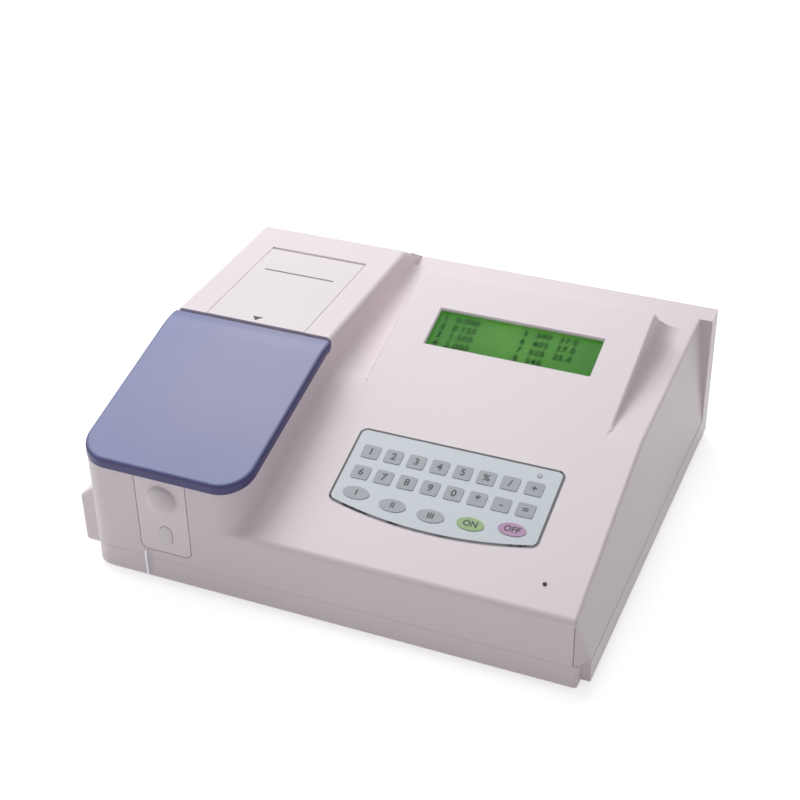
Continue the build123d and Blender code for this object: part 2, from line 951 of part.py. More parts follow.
# ---------------------------------------------------------------- optics
optic_z = plate_top + optic_height
wheel_y = optic_y + filter_circle
wheel_right = wheel_left + wheel_thickness
wheel_clear = 1.5
wheel_hub = 2.0
filter_recess = 0.5
motor_right = wheel_left - 2.0
motor_foot = 5.0
slot_front = plate_front + 10.0
slot_rear = plate_rear - wall
housing_wall = 2.0
louvre_count = 3
louvre_pitch = 5.0
louvre_inset = 6.0
lens_radius = 7.0
snout_wall = 1.5
snout_end = motor_right - 2.0
lamp_neck = 7.0
lamp_cap_half_wide = 5.0
lamp_cap_half_deep = 3.0
bulb_rise = 2.0
cell_x = (cell_block_left + cell_block_right) / 2
cell_floor = block_top - cell_height + 4.0
cell_proud = 3.0
spout_height = 5.0
spout_offset = 3.0
spout_radius = 1.5
detector_half = 8.0
detector_rear = optic_y + 20.0


def make_optics_plate():
    plate = block(plate_left, plate_right, plate_front, plate_rear, plate_level, plate_top)
    slot = (wheel_left - wheel_clear, wheel_right + wheel_clear)
    plate -= block(*slot, slot_front, slot_rear, 0, plate_top + wall)
    for x, y in post_spots:
        plate -= rod((x, y, 0), (x, y, plate_top + wall), screw_radius + fit)
    return plate


save("optics_plate", make_optics_plate())


def make_lamp_housing():
    front = optic_y - lamp_half_width
    rear = optic_y + lamp_half_width
    top = plate_top + lamp_height
    house = block(lamp_left, lamp_right, front, rear, plate_top, top)
    house -= block(
        lamp_left + housing_wall,
        lamp_right - housing_wall,
        front + housing_wall,
        rear - housing_wall,
        plate_top + housing_wall,
        top - housing_wall,
    )
    louvre = (lamp_left + louvre_inset, lamp_right - louvre_inset)
    for i in range(louvre_count):
        z = top - louvre_inset - louvre_pitch * i
        house -= block(*louvre, front - wall, rear + wall, z - 1, z + 1)
    start = (lamp_right, optic_y, optic_z)
    house += tube(start, (snout_end, optic_y, optic_z), lens_radius, lens_radius - snout_wall)
    return house - rod((lamp_right - wall, optic_y, optic_z), start, beam_radius)


save("lamp_housing", make_lamp_housing())


def make_halogen_lamp():
    x = (lamp_left + lamp_right) / 2
    neck = optic_z - lamp_neck
    cap = block(
        x - lamp_cap_half_wide,
        x + lamp_cap_half_wide,
        optic_y - lamp_cap_half_deep,
        optic_y + lamp_cap_half_deep,
        plate_top + housing_wall,
        neck,
    )
    end = (x, optic_y, optic_z + bulb_rise)
    bulb = rod((x, optic_y, neck), end, lamp_bulb_radius)
    return cap + bulb + Pos(*end) * Sphere(lamp_bulb_radius)


save("halogen_lamp", make_halogen_lamp())


def filter_places():
    for i in range(filter_count):
        angle = -pi / 2 + 2 * pi * i / filter_count
        yield wheel_y + filter_circle * sin(angle), optic_z + filter_circle * cos(angle)


def make_filter_wheel():
    face = (wheel_right, wheel_y, optic_z)
    wheel = rod((wheel_left, wheel_y, optic_z), face, wheel_radius)
    wheel += rod(face, (wheel_right + wheel_hub, wheel_y, optic_z), 5 * shaft_radius / 2)
    wheel -= rod((0, wheel_y, optic_z), (width, wheel_y, optic_z), shaft_radius + running)
    for y, z in filter_places():
        wheel -= rod((0, y, z), (width, y, z), filter_radius)
    return wheel


save("filter_wheel", make_filter_wheel())


def make_filters():
    left = wheel_left + filter_recess
    right = wheel_right - filter_recess
    return [rod((left, y, z), (right, y, z), filter_radius) for y, z in filter_places()]


save("filters", *make_filters())


def make_wheel_motor():
    left = motor_right - wheel_motor_length
    motor = rod((left, wheel_y, optic_z), (motor_right, wheel_y, optic_z), wheel_motor_radius)
    foot = (wheel_y - motor_foot, wheel_y + motor_foot)
    motor += block(left + 1, motor_right - 1, *foot, plate_top, optic_z)
    end = wheel_right + wheel_hub
    return motor + rod((left, wheel_y, optic_z), (end, wheel_y, optic_z), shaft_radius)


save("wheel_motor", make_wheel_motor())


def make_cell_block():
    front = optic_y - cell_block_half
    rear = optic_y + cell_block_half
    solid = block(cell_block_left, cell_block_right, front, rear, plate_top, block_top)
    solid = chamfer(solid.faces().sort_by(Axis.Z)[-1].edges(), 1.0)
    half = cell_side / 2 + running
    solid -= block(cell_x - half, cell_x + half, optic_y - half, optic_y + half, cell_floor, block_top)
    return solid - rod((0, optic_y, optic_z), (width, optic_y, optic_z), beam_radius)


save("cell_block", make_cell_block())


def make_flow_cell():
    half = cell_side / 2
    top = block_top + cell_proud
    cell = block(cell_x - half, cell_x + half, optic_y - half, optic_y + half, cell_floor, top)
    for x in (cell_x - spout_offset, cell_x + spout_offset):
        cell += rod((x, optic_y, top), (x, optic_y, top + spout_height), spout_radius)
    return cell


save("flow_cell", make_flow_cell())


def make_detector():
    start = cell_block_right
    face = start + detector_depth
    across = (optic_y - detector_half, optic_y + detector_half)
    head = block(start, face, *across, optic_z - detector_half, optic_z + detector_half)
    board_end = plate_top + lamp_height + wall
    back = face + board_thickness
    return head + block(face, back, plate_front, detector_rear, plate_top, board_end)


save("detector", make_detector())

# ---------------------------------------------------------------- front access panel
access_flange = 3.0
flange_back = wall + flange_thickness


def make_access_panel():
    """Flush panel in the front wall, held by a flange behind the wall."""
    skin = block(access_left, access_right, 0, wall, access_bottom, hood_top)
    skin = fillet(skin.edges().filter_by(Axis.Y).sort_by(Axis.Z)[:2], access_corner)
    flange = block(
        access_left - access_flange,
        access_right + access_flange,
        wall,
        flange_back,
        access_bottom - access_flange,
        deck_front - 2 * wall,
    )
    panel_piece = (skin & under_deck()) + flange
    panel_piece -= stadium_y(
        button_x,
        button_z,
        button_wide + 2 * button_gap,
        button_tall + 2 * button_gap,
        -wall,
        flange_back + wall,
    )
    panel_piece -= rod((needle_x, 0, needle_z), (needle_x, 2 * wall, needle_z), needle_radius + fit)
    return panel_piece


save("access_panel", make_access_panel())


def make_sipper_hood():
    """Half-round hood with a flat underside."""
    rise = sipper_height - sipper_width / 2
    dome = scale(Sphere(sipper_width / 2), (1, 2 * sipper_proud / sipper_width, 1))
    dome = Pos(sipper_x, 0, sipper_bottom + rise) * dome
    return dome & block(
        sipper_x - sipper_width,
        sipper_x + sipper_width,
        -sipper_width,
        0,
        sipper_bottom,
        sipper_bottom + sipper_height,
    )


save("sipper_hood", make_sipper_hood())

button_flange = 1.5
button_back = flange_back + 2.0
bridge_gap = 0.2
bridge_wall = 2.0
bridge_clear = 2.5
bridge_half_tall = 8.0
microswitch_half = 6.0
microswitch_deep = 8.0


def make_aspirate_button():
    cap = stadium_y(button_x, button_z, button_wide, button_tall, -button_proud, button_back)
    cap = fillet(edges_at(cap, y=-button_proud), button_proud / 2)
    ring = stadium_y(
        button_x,
        button_z,
        button_wide + 2 * button_flange,
        button_tall + 2 * button_flange,
        flange_back,
        button_back,
    )
    return cap + ring


save("aspirate_button", make_aspirate_button())


def make_button_switch():
    """Microswitch on a bridge that stands on the back of the access panel."""
    near = button_back + button_travel + bridge_gap
    far = near + bridge_wall
    half = button_wide / 2 + button_flange + bridge_clear
    upright = (button_z - bridge_half_tall, button_z + bridge_half_tall)
    bridge = block(button_x - half, button_x + half, near, far, *upright)
    for x in (button_x - half - bridge_wall, button_x + half):
        bridge += block(x, x + bridge_wall, flange_back, far, *upright)
    return bridge + block(
        button_x - microswitch_half,
        button_x + microswitch_half,
        far,
        far + microswitch_deep,
        button_z - microswitch_half,
        button_z + microswitch_half,
    )


save("button_switch", make_button_switch())


def make_sipper_needle():
    """Thin steel tube that leaves the case below the panel's left corner and turns down."""
    y = -needle_proud
    turn_y = y + needle_bend
    turn_z = needle_z - needle_bend
    inner = rod((needle_x, turn_y, needle_z), (needle_x, 3 * wall, needle_z), needle_radius)
    fall = rod((needle_x, y, needle_z - needle_drop), (needle_x, y, turn_z), needle_radius)
    ring = Pos(needle_x, turn_y, turn_z) * Rot(0, 90, 0) * Torus(needle_bend, needle_radius)
    reach = 2 * needle_bend
    corner = block(needle_x - reach, needle_x + reach, y - reach, turn_y, turn_z, turn_z + reach)
    return inner + (ring & corner) + fall


save("sipper_needle", make_sipper_needle())


# ---------------------------------------------------------------- peristaltic pump
rotor_left = -pump_depth + 3.0
rotor_right = -2.6
carrier = 1.2
carrier_rim = 1.6
tube_bend = 3.0
roller_slack = 0.3
roller_pin = 1.2
track_inner = tube_orbit + pump_tube_radius
track_outer = track_inner + 2.4


def make_pump_motor():
    face = (wall, pump_y, pump_z)
    motor = rod(face, (wall + pump_motor_length, pump_y, pump_z), pump_motor_radius)
    return motor + rod((rotor_left, pump_y, pump_z), face, pump_shaft_radius)


save("pump_motor", make_pump_motor())


def roller_places():
    for i in range(roller_count):
        angle = pi / 2 + 2 * pi * i / roller_count
        yield pump_y + roller_orbit * cos(angle), pump_z + roller_orbit * sin(angle)


def make_pump_rotor():
    rotor = rod((rotor_left, pump_y, pump_z), (rotor_right, pump_y, pump_z), 2 * pump_shaft_radius)
    for x in (rotor_left, rotor_right - carrier):
        rotor += rod((x, pump_y, pump_z), (x + carrier, pump_y, pump_z), roller_orbit + carrier_rim)
    for y, z in roller_places():
        rotor += rod((rotor_left, y, z), (rotor_right, y, z), roller_pin)
    return rotor - rod((-width, pump_y, pump_z), (0, pump_y, pump_z), pump_shaft_radius + running)


save("pump_rotor", make_pump_rotor())


def make_pump_rollers():
    left = rotor_left + carrier + roller_slack
    right = rotor_right - carrier - roller_slack
    bore = roller_pin + running
    return [tube((left, y, z), (right, y, z), roller_radius, bore) for y, z in roller_places()]


save("pump_rollers", *make_pump_rollers())


def make_pump_track():
    """Horseshoe round the top of the rotor that the tube is pressed against."""
    track = tube((rotor_left, pump_y, pump_z), (0, pump_y, pump_z), track_outer, track_inner)
    return track - block(-width, width, -depth, depth, 0, pump_z)


save("pump_track", make_pump_track())


def make_pump_tube():
    x = (rotor_left + rotor_right) / 2
    near, far = tube_ends
    rise = [(wall, near, tube_low), (x, near, tube_low), (x, near, pump_z)]
    fall = [(x, far, pump_z), (x, far, tube_low), (wall, far, tube_low)]
    top = (x, pump_y, pump_z + tube_orbit)
    path = Wire(
        FilletPolyline(*rise, radius=tube_bend).edges()
        + Edge.make_three_point_arc(rise[-1], top, fall[0]).edges()
        + FilletPolyline(*fall, radius=tube_bend).edges()
    )
    section = Plane(origin=path @ 0, z_dir=path % 0) * Circle(pump_tube_radius)
    return sweep(section, path=path)


save("pump_tube", make_pump_tube())


def pump_shell(inset):
    """Box on the wall whose top slants down to the left."""
    slope = pump_slant / pump_depth
    drop = inset * hypot(1, slope)
    left = inset - pump_depth
    outline = [
        (left, pump_bottom + inset),
        (left, pump_top + slope * left - drop),
        (wall + inset, pump_top + slope * (wall + inset) - drop),
        (wall + inset, pump_bottom + inset),
    ]
    front = Plane(origin=(0, pump_front + inset, 0), x_dir=(1, 0, 0), z_dir=(0, -1, 0))
    length = pump_rear - pump_front - 2 * inset
    shell = extrude(front * Polygon(*outline, align=None), length, dir=(0, 1, 0))
    return fillet(shell.edges().filter_by(lambda e: e.center().X < wall), pump_cover_radius - inset)


def make_pump_cover():
    """Rounded cover on the left wall over the pump head, shaped to the case's front corner."""
    side = block(0, width, 0, frame_front, 0, hood_top)
    side = fillet(edges_at(side, x=0, y=0), left_corner_radius)
    return pump_shell(0) - pump_shell(pump_cover_wall) - side


save("pump_cover", make_pump_cover())


# ---------------------------------------------------------------- printer
bay_left = cover_left - cheek
bay_right = cover_right + cheek
bay_top = tower_top - 2 * wall
bay_floor = tower_top - bay_depth
bay_wall = 2.2
bay_start = bay_front + 2 * wall
spindle_z = bay_floor + roll_radius + wall
rib = 2.0
rib_inset = 6.0
rib_front = bay_start + 8.0


def make_printer_cover():
    """Flush cover with the paper slot; its rear edge is a barrel with a pin at each end."""
    left = cover_left + cover_gap
    right = cover_right - cover_gap
    lid = block(left, right, bay_front + fit, pin_axis_y, tower_top - cover_thickness, tower_top)
    lid += rod((left, pin_axis_y, pin_axis_z), (right, pin_axis_y, pin_axis_z), cover_hinge_radius)
    reach = cheek / 2
    lid += rod(
        (left - reach, pin_axis_y, pin_axis_z), (right + reach, pin_axis_y, pin_axis_z), cover_pin_radius
    )
    under = tower_top - cover_thickness
    for x in (left + rib_inset, right - rib_inset - rib):
        lid += block(x, x + rib, rib_front, pin_axis_y, under - cover_thickness, under)
    half = slot_gap / 2
    return lid - block(slot_left, slot_right, slot_y - half, slot_y + half, 0, 2 * tower_top)


save("printer_cover", make_printer_cover())


def make_printer_bay():
    bay = block(bay_left, bay_right, bay_start, bay_rear, bay_floor - bay_wall, bay_top)
    left = bay_left + bay_wall
    right = bay_right - bay_wall
    bay -= block(left, right, bay_start + bay_wall, bay_rear - bay_wall, bay_floor, bay_top)
    return bay + rod((left, roll_y, spindle_z), (right, roll_y, spindle_z), roll_core - running)


save("printer_bay", make_printer_bay())


def make_paper_roll():
    left = (slot_left + slot_right - roll_width) / 2
    right = left + roll_width
    return tube((left, roll_y, spindle_z), (right, roll_y, spindle_z), roll_radius, roll_core)


save("paper_roll", make_paper_roll())

platen_z = tower_top - platen_drop
side_plate = 2.0
mech_left = slot_left - side_plate - fit
mech_right = slot_right + side_plate + fit
gear_left = mech_right + fit
platen_gear_radius = gear_module * platen_teeth / 2
pinion_radius = gear_module * pinion_teeth / 2
gear_distance = platen_gear_radius + pinion_radius + running
pinion_z = platen_z - gear_distance
mech_front = platen_y - platen_radius - 4.0
mech_rear = platen_y + platen_radius + 12.0
bar_height = 4.0
head_depth = 6.0
head_rise = 3.0
tooth_above = 0.9
tooth_below = 1.15
root_share = 0.32
tip_share = 0.13
stepper_length = 18.0
stepper_front = 7.0
stepper_rear = 5.0
stepper_below = 7.0
stepper_above = 4.0


def make_printer_frame():
    """Two side plates, a cross bar and the print head block behind the platen."""
    inner = (slot_left - fit, slot_right + fit)
    bar_top = bay_floor + bar_height
    frame = block(*inner, mech_front, mech_rear, bay_floor, bar_top)
    top = platen_z + platen_radius - 1
    for x0, x1 in ((mech_left, inner[0]), (inner[1], mech_right)):
        frame += block(x0, x1, mech_front, mech_rear, bay_floor, top)
    head_front = platen_y + platen_radius + fit
    frame += block(*inner, head_front, head_front + head_depth, bar_top, platen_z + head_rise)
    frame -= rod((0, platen_y, platen_z), (width, platen_y, platen_z), platen_shaft + running)
    return frame - rod((slot_right, platen_y, pinion_z), (width, platen_y, pinion_z), shaft_radius + fit)


save("printer_frame", make_printer_frame())


def make_platen_roller():
    roller = rod((slot_left, platen_y, platen_z), (slot_right, platen_y, platen_z), platen_radius)
    end = gear_left + gear_width
    return roller + rod((mech_left, platen_y, platen_z), (end, platen_y, platen_z), platen_shaft)


save("platen_roller", make_platen_roller())


def gear(teeth, bore, turn):
    """Spur gear along X with straight-flanked teeth thin enough to run freely."""
    pitch = gear_module * teeth / 2
    tip = pitch + tooth_above * gear_module
    root = pitch - tooth_below * gear_module
    tooth = ((root, -root_share), (tip, -tip_share), (tip, tip_share), (root, root_share))
    step = 2 * pi / teeth
    points = []
    for i in range(teeth):
        middle = turn + i * step
        for radius, share in tooth:
            angle = middle + share * step
            points.append((radius * cos(angle), radius * sin(angle)))
    blank = extrude(Plane.YZ * Polygon(*points, align=None), gear_width, dir=(1, 0, 0))
    return blank - rod((0, 0, 0), (gear_width, 0, 0), bore)


def make_platen_gear():
    return Pos(gear_left, platen_y, platen_z) * gear(platen_teeth, platen_shaft, -pi / 2)


save("platen_gear", make_platen_gear())


def make_motor_pinion():
    turn = pi / 2 + pi / pinion_teeth
    return Pos(gear_left, platen_y, pinion_z) * gear(pinion_teeth, shaft_radius + running, turn)


save("motor_pinion", make_motor_pinion())


def make_printer_motor():
    """Stepper inside the frame, under the platen, with its shaft through the side plate."""
    inner = slot_right + fit
    motor = block(
        inner - stepper_length,
        inner,
        platen_y - stepper_front,
        platen_y + stepper_rear,
        pinion_z - stepper_below,
        pinion_z + stepper_above,
    )
    end = gear_left + gear_width
    return motor + rod((inner, platen_y, pinion_z), (end, platen_y, pinion_z), shaft_radius)


save("printer_motor", make_printer_motor())


# ---------------------------------------------------------------- display
window_corner = 2.0
glass_wide = lcd_wide + 4.0
glass_tall = lcd_tall + 4.0
glass_back = window_back - lcd_glass_thickness
bezel_thickness = 2.0
bezel_corner = 1.0
chip_count = 4
chip_side = 14.0
chip_height = 2.0
chip_pitch = (module_wide - 50.0) / chip_count


def make_lcd_window():
    wide = lcd_wide + 2 * window_margin
    tall = lcd_tall + 2 * window_margin
    return panel_slab(lcd_x, lcd_s, wide, tall, window_back, -wall, window_corner)


save("lcd_window", make_lcd_window())


def make_lcd_glass():
    return panel_slab(lcd_x, lcd_s, glass_wide, glass_tall, glass_back, window_back)


save("lcd_glass", make_lcd_glass())


def make_lcd_frame():
    frame = panel_slab(lcd_x, lcd_s, module_wide, module_tall, frame_back, window_back, bezel_corner)
    frame -= panel_slab(lcd_x, lcd_s, glass_wide + fit, glass_tall + fit, glass_back, 0)
    frame -= panel_slab(lcd_x, lcd_s, lcd_wide, lcd_tall, frame_back + bezel_thickness, glass_back)
    for x, s in module_spots:
        frame -= on_panel(x, s, 0, Cylinder(thin_screw + fit, 4 * module_thickness))
    return frame


save("lcd_frame", make_lcd_frame())


def make_lcd_board():
    back = frame_back - board_thickness
    board = panel_slab(lcd_x, lcd_s, module_wide, module_tall, back, frame_back)
    for x, s in module_spots:
        board -= on_panel(x, s, 0, Cylinder(thin_screw + fit, 4 * module_thickness))
    for i in range(chip_count):
        x = lcd_x + (i - (chip_count - 1) / 2) * chip_pitch
        board += panel_slab(x, lcd_s, chip_side, chip_side, back - chip_height, back)
    return board


save("lcd_board", make_lcd_board())


def lcd_screws():
    """Screws from behind the display board up into the bosses under the hood."""
    back = frame_back - board_thickness
    screws = []
    for x, s in module_spots:
        head = Pos(0, 0, back - thin_head_height / 2) * Cylinder(thin_head, thin_head_height)
        tip = window_back + window_thickness / 2
        shank = Pos(0, 0, (back + tip) / 2) * Cylinder(thin_screw, tip - back)
        screws.append(on_panel(x, s, 0, head + shank))
    return screws


# ---------------------------------------------------------------- keypad
def make_keypad_overlay():
    """Printed film on the panel with a bowed bottom edge."""
    half = keypad_wide / 2
    outline = make_face(
        [
            Polyline((-half, keypad_side), (-half, keypad_top), (half, keypad_top), (half, keypad_side)),
            ThreePointArc((half, keypad_side), (0, keypad_bottom), (-half, keypad_side)),
        ]
    )
    outline = fillet(outline.vertices(), keypad_corner)
    return on_panel(keypad_x, 0, 0, extrude(outline, overlay_thickness))


save("keypad_overlay", make_keypad_overlay())


def make_square_keys():
    keys = []
    top = overlay_thickness + key_raise
    for row in range(key_rows):
        s = key_top_row - row * key_row_pitch
        for i in range(key_columns):
            x = key_middle + (i - (key_columns - 1) / 2) * key_pitch
            keys.append(panel_slab(x, s, key_wide, key_tall, overlay_thickness, top, key_corner))
    return keys


save("square_keys", *make_square_keys())


def oval_key(i):
    """One key of the bottom row, which sags towards its middle."""
    middle = (oval_count - 1) / 2
    offset = (i - middle) / middle
    x = key_middle + (i - middle) * oval_pitch
    s = oval_row - oval_sag * (1 - offset * offset)
    oval = extrude(Ellipse(oval_wide / 2, oval_tall / 2), key_raise)
    return on_panel(x, s, overlay_thickness, oval)


save("oval_keys_grey", *[oval_key(i) for i in range(oval_count - 2)])
save("oval_key_green", oval_key(oval_count - 2))
save("oval_key_purple", oval_key(oval_count - 1))


def make_status_lights():
    """Power lamp through the panel with a flange behind it, and the round lens on the keypad."""
    radius = led_radius - running
    lamp = Pos(0, 0, -2 * wall) * extrude(Circle(radius), 2 * wall) + Sphere(radius)
    lamp += Pos(0, 0, -wall - 1) * extrude(Circle(led_radius + 1), 1)
    lens = extrude(Circle(status_radius), key_raise)
    return [on_panel(led_x, led_s, 0, lamp), on_panel(status_x, status_s, overlay_thickness, lens)]


save("status_lights", *make_status_lights())


# ---------------------------------------------------------------- boards and power supply
board_level = tray_floor + standoff
board_top = board_level + board_thickness
supply_wall = 1.2
supply_slots = 9
supply_slot_pitch = 10.0
supply_slot_inset = 12.0
supply_slot_wide = 3.0


def make_main_board():
    board = block(main_left, main_right, main_front, main_rear, board_level, board_top)
    for x, y in board_spots:
        board -= rod((x, y, 0), (x, y, board_top + wall), screw_radius + fit)
    return board


save("main_board", make_main_board())


strip_wide = 60.0
strip_deep = 12.0
strip_low = tray_floor + 10.0
strip_high = tray_floor + 24.0
terminal_count = 6
terminal_pitch = strip_wide / terminal_count
terminal_wide = 7.0
terminal_deep = 8.0
terminal_floor = tray_floor + 14.0


def terminal_strip():
    """Screw terminals on the front of the power supply."""
    left = supply_left + strip_deep
    front = supply_front - strip_deep
    strip = block(left, left + strip_wide, front, supply_front, strip_low, strip_high)
    for i in range(terminal_count):
        x = left + (i + 1 / 2) * terminal_pitch - terminal_wide / 2
        strip -= block(x, x + terminal_wide, front, front + terminal_deep, terminal_floor, strip_high)
    return strip


# Parts on the main board: left edge as a share of the board's width, wide, front edge measured
# from the board's front, deep, tall
processor = (0.41, 28.0, 52.0, 28.0, 3.0)
driver = (0.63, 20.0, 32.0, 8.0, 3.2)
wire_terminal = (0.08, 16.0, 18.0, 12.0, 12.0)
socket_strip = (0.75, 30.0, 6.0, 8.0, 9.0)
ribbon_header = (0.9, 8.0, 40.0, 50.0, 9.0)
driver_count = 4
driver_pitch = 18.0
wire_terminal_count = 3
wire_terminal_pitch = 0.11
capacitor_count = 5
capacitor_first = 0.1
capacitor_pitch = 0.08
capacitor_y = main_rear - 18.0
capacitor_radius = 5.0
capacitor_height = 14.0
battery_share = 0.85
battery_y = main_rear - 26.0
battery_radius = 10.0
battery_height = 4.5


def board_x(share):
    return main_left + share * (main_right - main_left)


def board_block(part, shift=0.0, back=0.0):
    """Block on the main board, moved by a share of its width and by a distance to the rear."""
    share, wide, front, deep, tall = part
    x = board_x(share + shift)
    y = main_front + front + back
    return block(x, x + wide, y, y + deep, board_top, board_top + tall)


def board_can(share, y, radius, tall):
    x = board_x(share)
    return rod((x, y, board_top), (x, y, board_top + tall), radius)


def make_board_parts():
    """Parts on the main board and the terminal strip of the power supply."""
    parts = [board_block(processor)]
    for i in range(driver_count):
        parts.append(board_block(driver, back=i * driver_pitch))
    for i in range(capacitor_count):
        share = capacitor_first + i * capacitor_pitch
        parts.append(board_can(share, capacitor_y, capacitor_radius, capacitor_height))
    for i in range(wire_terminal_count):
        parts.append(board_block(wire_terminal, shift=i * wire_terminal_pitch))
    parts.append(board_can(battery_share, battery_y, battery_radius, battery_height))
    parts.append(board_block(socket_strip))
    parts.append(board_block(ribbon_header))
    parts.append(terminal_strip())
    return parts


save("board_parts", *make_board_parts())


def make_power_supply():
    """Sheet metal box with a slotted top, standing on the tray."""
    top = tray_floor + supply_height
    box = block(supply_left, supply_right, supply_front, supply_rear, tray_floor, top)
    box -= block(
        supply_left + supply_wall,
        supply_right - supply_wall,
        supply_front + supply_wall,
        supply_rear - supply_wall,
        tray_floor + supply_wall,
        top - supply_wall,
    )
    ends = (supply_front + supply_slot_inset, supply_rear - supply_slot_inset)
    for i in range(supply_slots):
        x = supply_left + supply_slot_inset + i * supply_slot_pitch - supply_slot_wide / 2
        box -= block(x, x + supply_slot_wide, *ends, top - 2 * supply_wall, top + supply_wall)
    return box


save("power_supply", make_power_supply())


def board_screws():
    """Screws down into the stand-offs and the optics posts."""
    screws = []
    spots = [(x, y, board_top) for x, y in board_spots] + [(x, y, plate_top) for x, y in post_spots]
    for x, y, z in spots:
        screws.append(
            rod((x, y, z - 3 * screw_radius), (x, y, z), screw_radius)
            + rod((x, y, z), (x, y, z + screw_head_height), screw_head_radius)
        )
    return screws


# ---------------------------------------------------------------- fan
fan_front = lip_y - fan_thickness
fan_bore = fan_side / 2 - 1.5
hub_radius = 14.0
blade_tip = fan_bore - 0.8
blade_chord = 11.0
blade_thickness = 1.4
blade_angle = 38.0
fan_corner = 4.0
arm_count = 4
arm_depth = 2.5
arm_wide = 3.0
hub_plate = 3.0
hub_edge = 1.0
fan_pin = 1.5
fan_pin_end = lip_y - 4.0
rotor_start = fan_front + hub_plate + fit
rotor_end = lip_y - 1.5
guard_thickness = 1.5
guard_wire = 1.4
guard_rings = 4
guard_inner = 8.0
guard_pitch = 7.0
guard_ear = 3.4
guard_back = plate_back + guard_thickness


def on_fan(turn, shape):
    """Shape laid out along X from the fan's axis, turned about that axis."""
    return Pos(fan_x, 0, fan_z) * Rot(0, turn, 0) * shape


def fan_rod(y0, y1, radius):
    return rod((fan_x, y0, fan_z), (fan_x, y1, fan_z), radius)


def make_fan_frame():
    half = fan_side / 2
    frame = block(fan_x - half, fan_x + half, fan_front, lip_y, fan_z - half, fan_z + half)
    frame = fillet(frame.edges().filter_by(Axis.Y), fan_corner)
    frame -= fan_rod(0, depth, fan_bore)
    for i in range(arm_count):
        arm = block(
            hub_radius - 2, fan_bore + 1, fan_front, fan_front + arm_depth, -arm_wide / 2, arm_wide / 2
        )
        frame += on_fan((i + 1 / 2) * 360 / arm_count, arm)
    frame += fan_rod(fan_front, fan_front + hub_plate, hub_radius)
    frame += fan_rod(fan_front, fan_pin_end, fan_pin)
    for x, z in fan_spots:
        frame -= rod((x, 0, z), (x, depth, z), screw_radius + bore_slack)
    return frame


save("fan_frame", make_fan_frame())


def make_fan_rotor():
    hub = fan_rod(rotor_start, rotor_end, hub_radius)
    hub = fillet(hub.faces().sort_by(Axis.Y)[-1].edges(), hub_edge)
    root = hub_radius - 1
    blade = Rot(blade_angle, 0, 0) * Box(blade_tip - root, blade_chord, blade_thickness)
    blade = Pos((root + blade_tip) / 2, (rotor_start + rotor_end) / 2, 0) * blade
    for i in range(fan_blades):
        hub += on_fan(360 * i / fan_blades, blade)
    hub &= fan_rod(rotor_start, rotor_end, blade_tip)
    return hub - fan_rod(rotor_start, fan_pin_end + fit, fan_pin + running)


save("fan_rotor", make_fan_rotor())


def make_fan_guard():
    """Flat wire guard of cross bars, rings and four ears."""
    half = guard_wire / 2
    reach = fan_hole * 2 ** (1 / 2)
    bar = block(guard_inner, reach, plate_back, guard_back, -half, half)
    wires = [on_fan((i + 1 / 2) * 360 / arm_count, bar) for i in range(arm_count)]
    for i in range(guard_rings):
        middle = guard_inner + guard_pitch * i
        wires.append(fan_rod(plate_back, guard_back, middle + half) - fan_rod(0, depth, middle - half))
    for x, z in fan_spots:
        wires.append(rod((x, plate_back, z), (x, guard_back, z), guard_ear))
    guard = wires[0].fuse(*wires[1:])
    for x, z in fan_spots:
        guard -= rod((x, plate_back, z), (x, guard_back, z), screw_radius + bore_slack)
    return guard


save("fan_guard", make_fan_guard())


def fan_screws():
    """Screws through the guard and the rear panel into the fan's corners."""
    screws = []
    for x, z in fan_spots:
        shank = rod((x, fan_front + fan_corner, z), (x, guard_back, z), screw_radius)
        head = rod((x, guard_back, z), (x, guard_back + screw_head_height, z), screw_head_radius)
        screws.append(shank + head)
    return screws


save("inner_screws", *lcd_screws(), *board_screws(), *fan_screws())


# ---------------------------------------------------------------- mains inlet, fuse, switch and port
flange_reach = 2.0
inlet_corner = 2.0
pin_wide = 4.0
pin_thick = 2.0
pin_spread = 7.0
live_drop = 1.5
earth_rise = 2.5
pin_start = plate_back - inlet_depth - 6.0
pin_end = plate_back - 3.0
fuse_depth = 24.0
cap_slot = 1.4
cap_edge = 0.6


def panel_socket(x, z, wide, tall, deep, corner):
    """Body through a cut-out of the rear panel with a flange outside."""
    start = plate_back - deep
    body = block(x - wide / 2, x + wide / 2, start, plate_back, z - tall / 2, z + tall / 2)
    flange = block(
        x - wide / 2 - flange_reach,
        x + wide / 2 + flange_reach,
        plate_back,
        plate_back + flange_proud,
        z - tall / 2 - flange_reach,
        z + tall / 2 + flange_reach,
    )
    return body + fillet(flange.edges().filter_by(Axis.Y), corner)


socket_floor = plate_back - inlet_depth + 4
socket_half_wide = 12.0
socket_half_tall = 8.0
socket_chamfer = 4.0


def inlet_pin_places():
    low = inlet_z - live_drop
    return [(inlet_x - pin_spread, low), (inlet_x, inlet_z + earth_rise), (inlet_x + pin_spread, low)]


def inlet_pin(x, z, y0, y1):
    return block(x - pin_thick / 2, x + pin_thick / 2, y0, y1, z - pin_wide / 2, z + pin_wide / 2)


def make_mains_inlet():
    inlet = panel_socket(inlet_x, inlet_z, inlet_wide, inlet_tall, inlet_depth, inlet_corner)
    room = block(
        inlet_x - socket_half_wide,
        inlet_x + socket_half_wide,
        socket_floor,
        depth,
        inlet_z - socket_half_tall,
        inlet_z + socket_half_tall,
    )
    inlet -= chamfer(room.edges().filter_by(Axis.Y).sort_by(Axis.Z)[-2:], socket_chamfer)
    for x, z in inlet_pin_places():
        inlet -= inlet_pin(x, z, 0, depth)
    return inlet


save("mains_inlet", make_mains_inlet())


def make_inlet_pins():
    return [inlet_pin(x, z, pin_start, pin_end) for x, z in inlet_pin_places()]


save("inlet_pins", *make_inlet_pins())


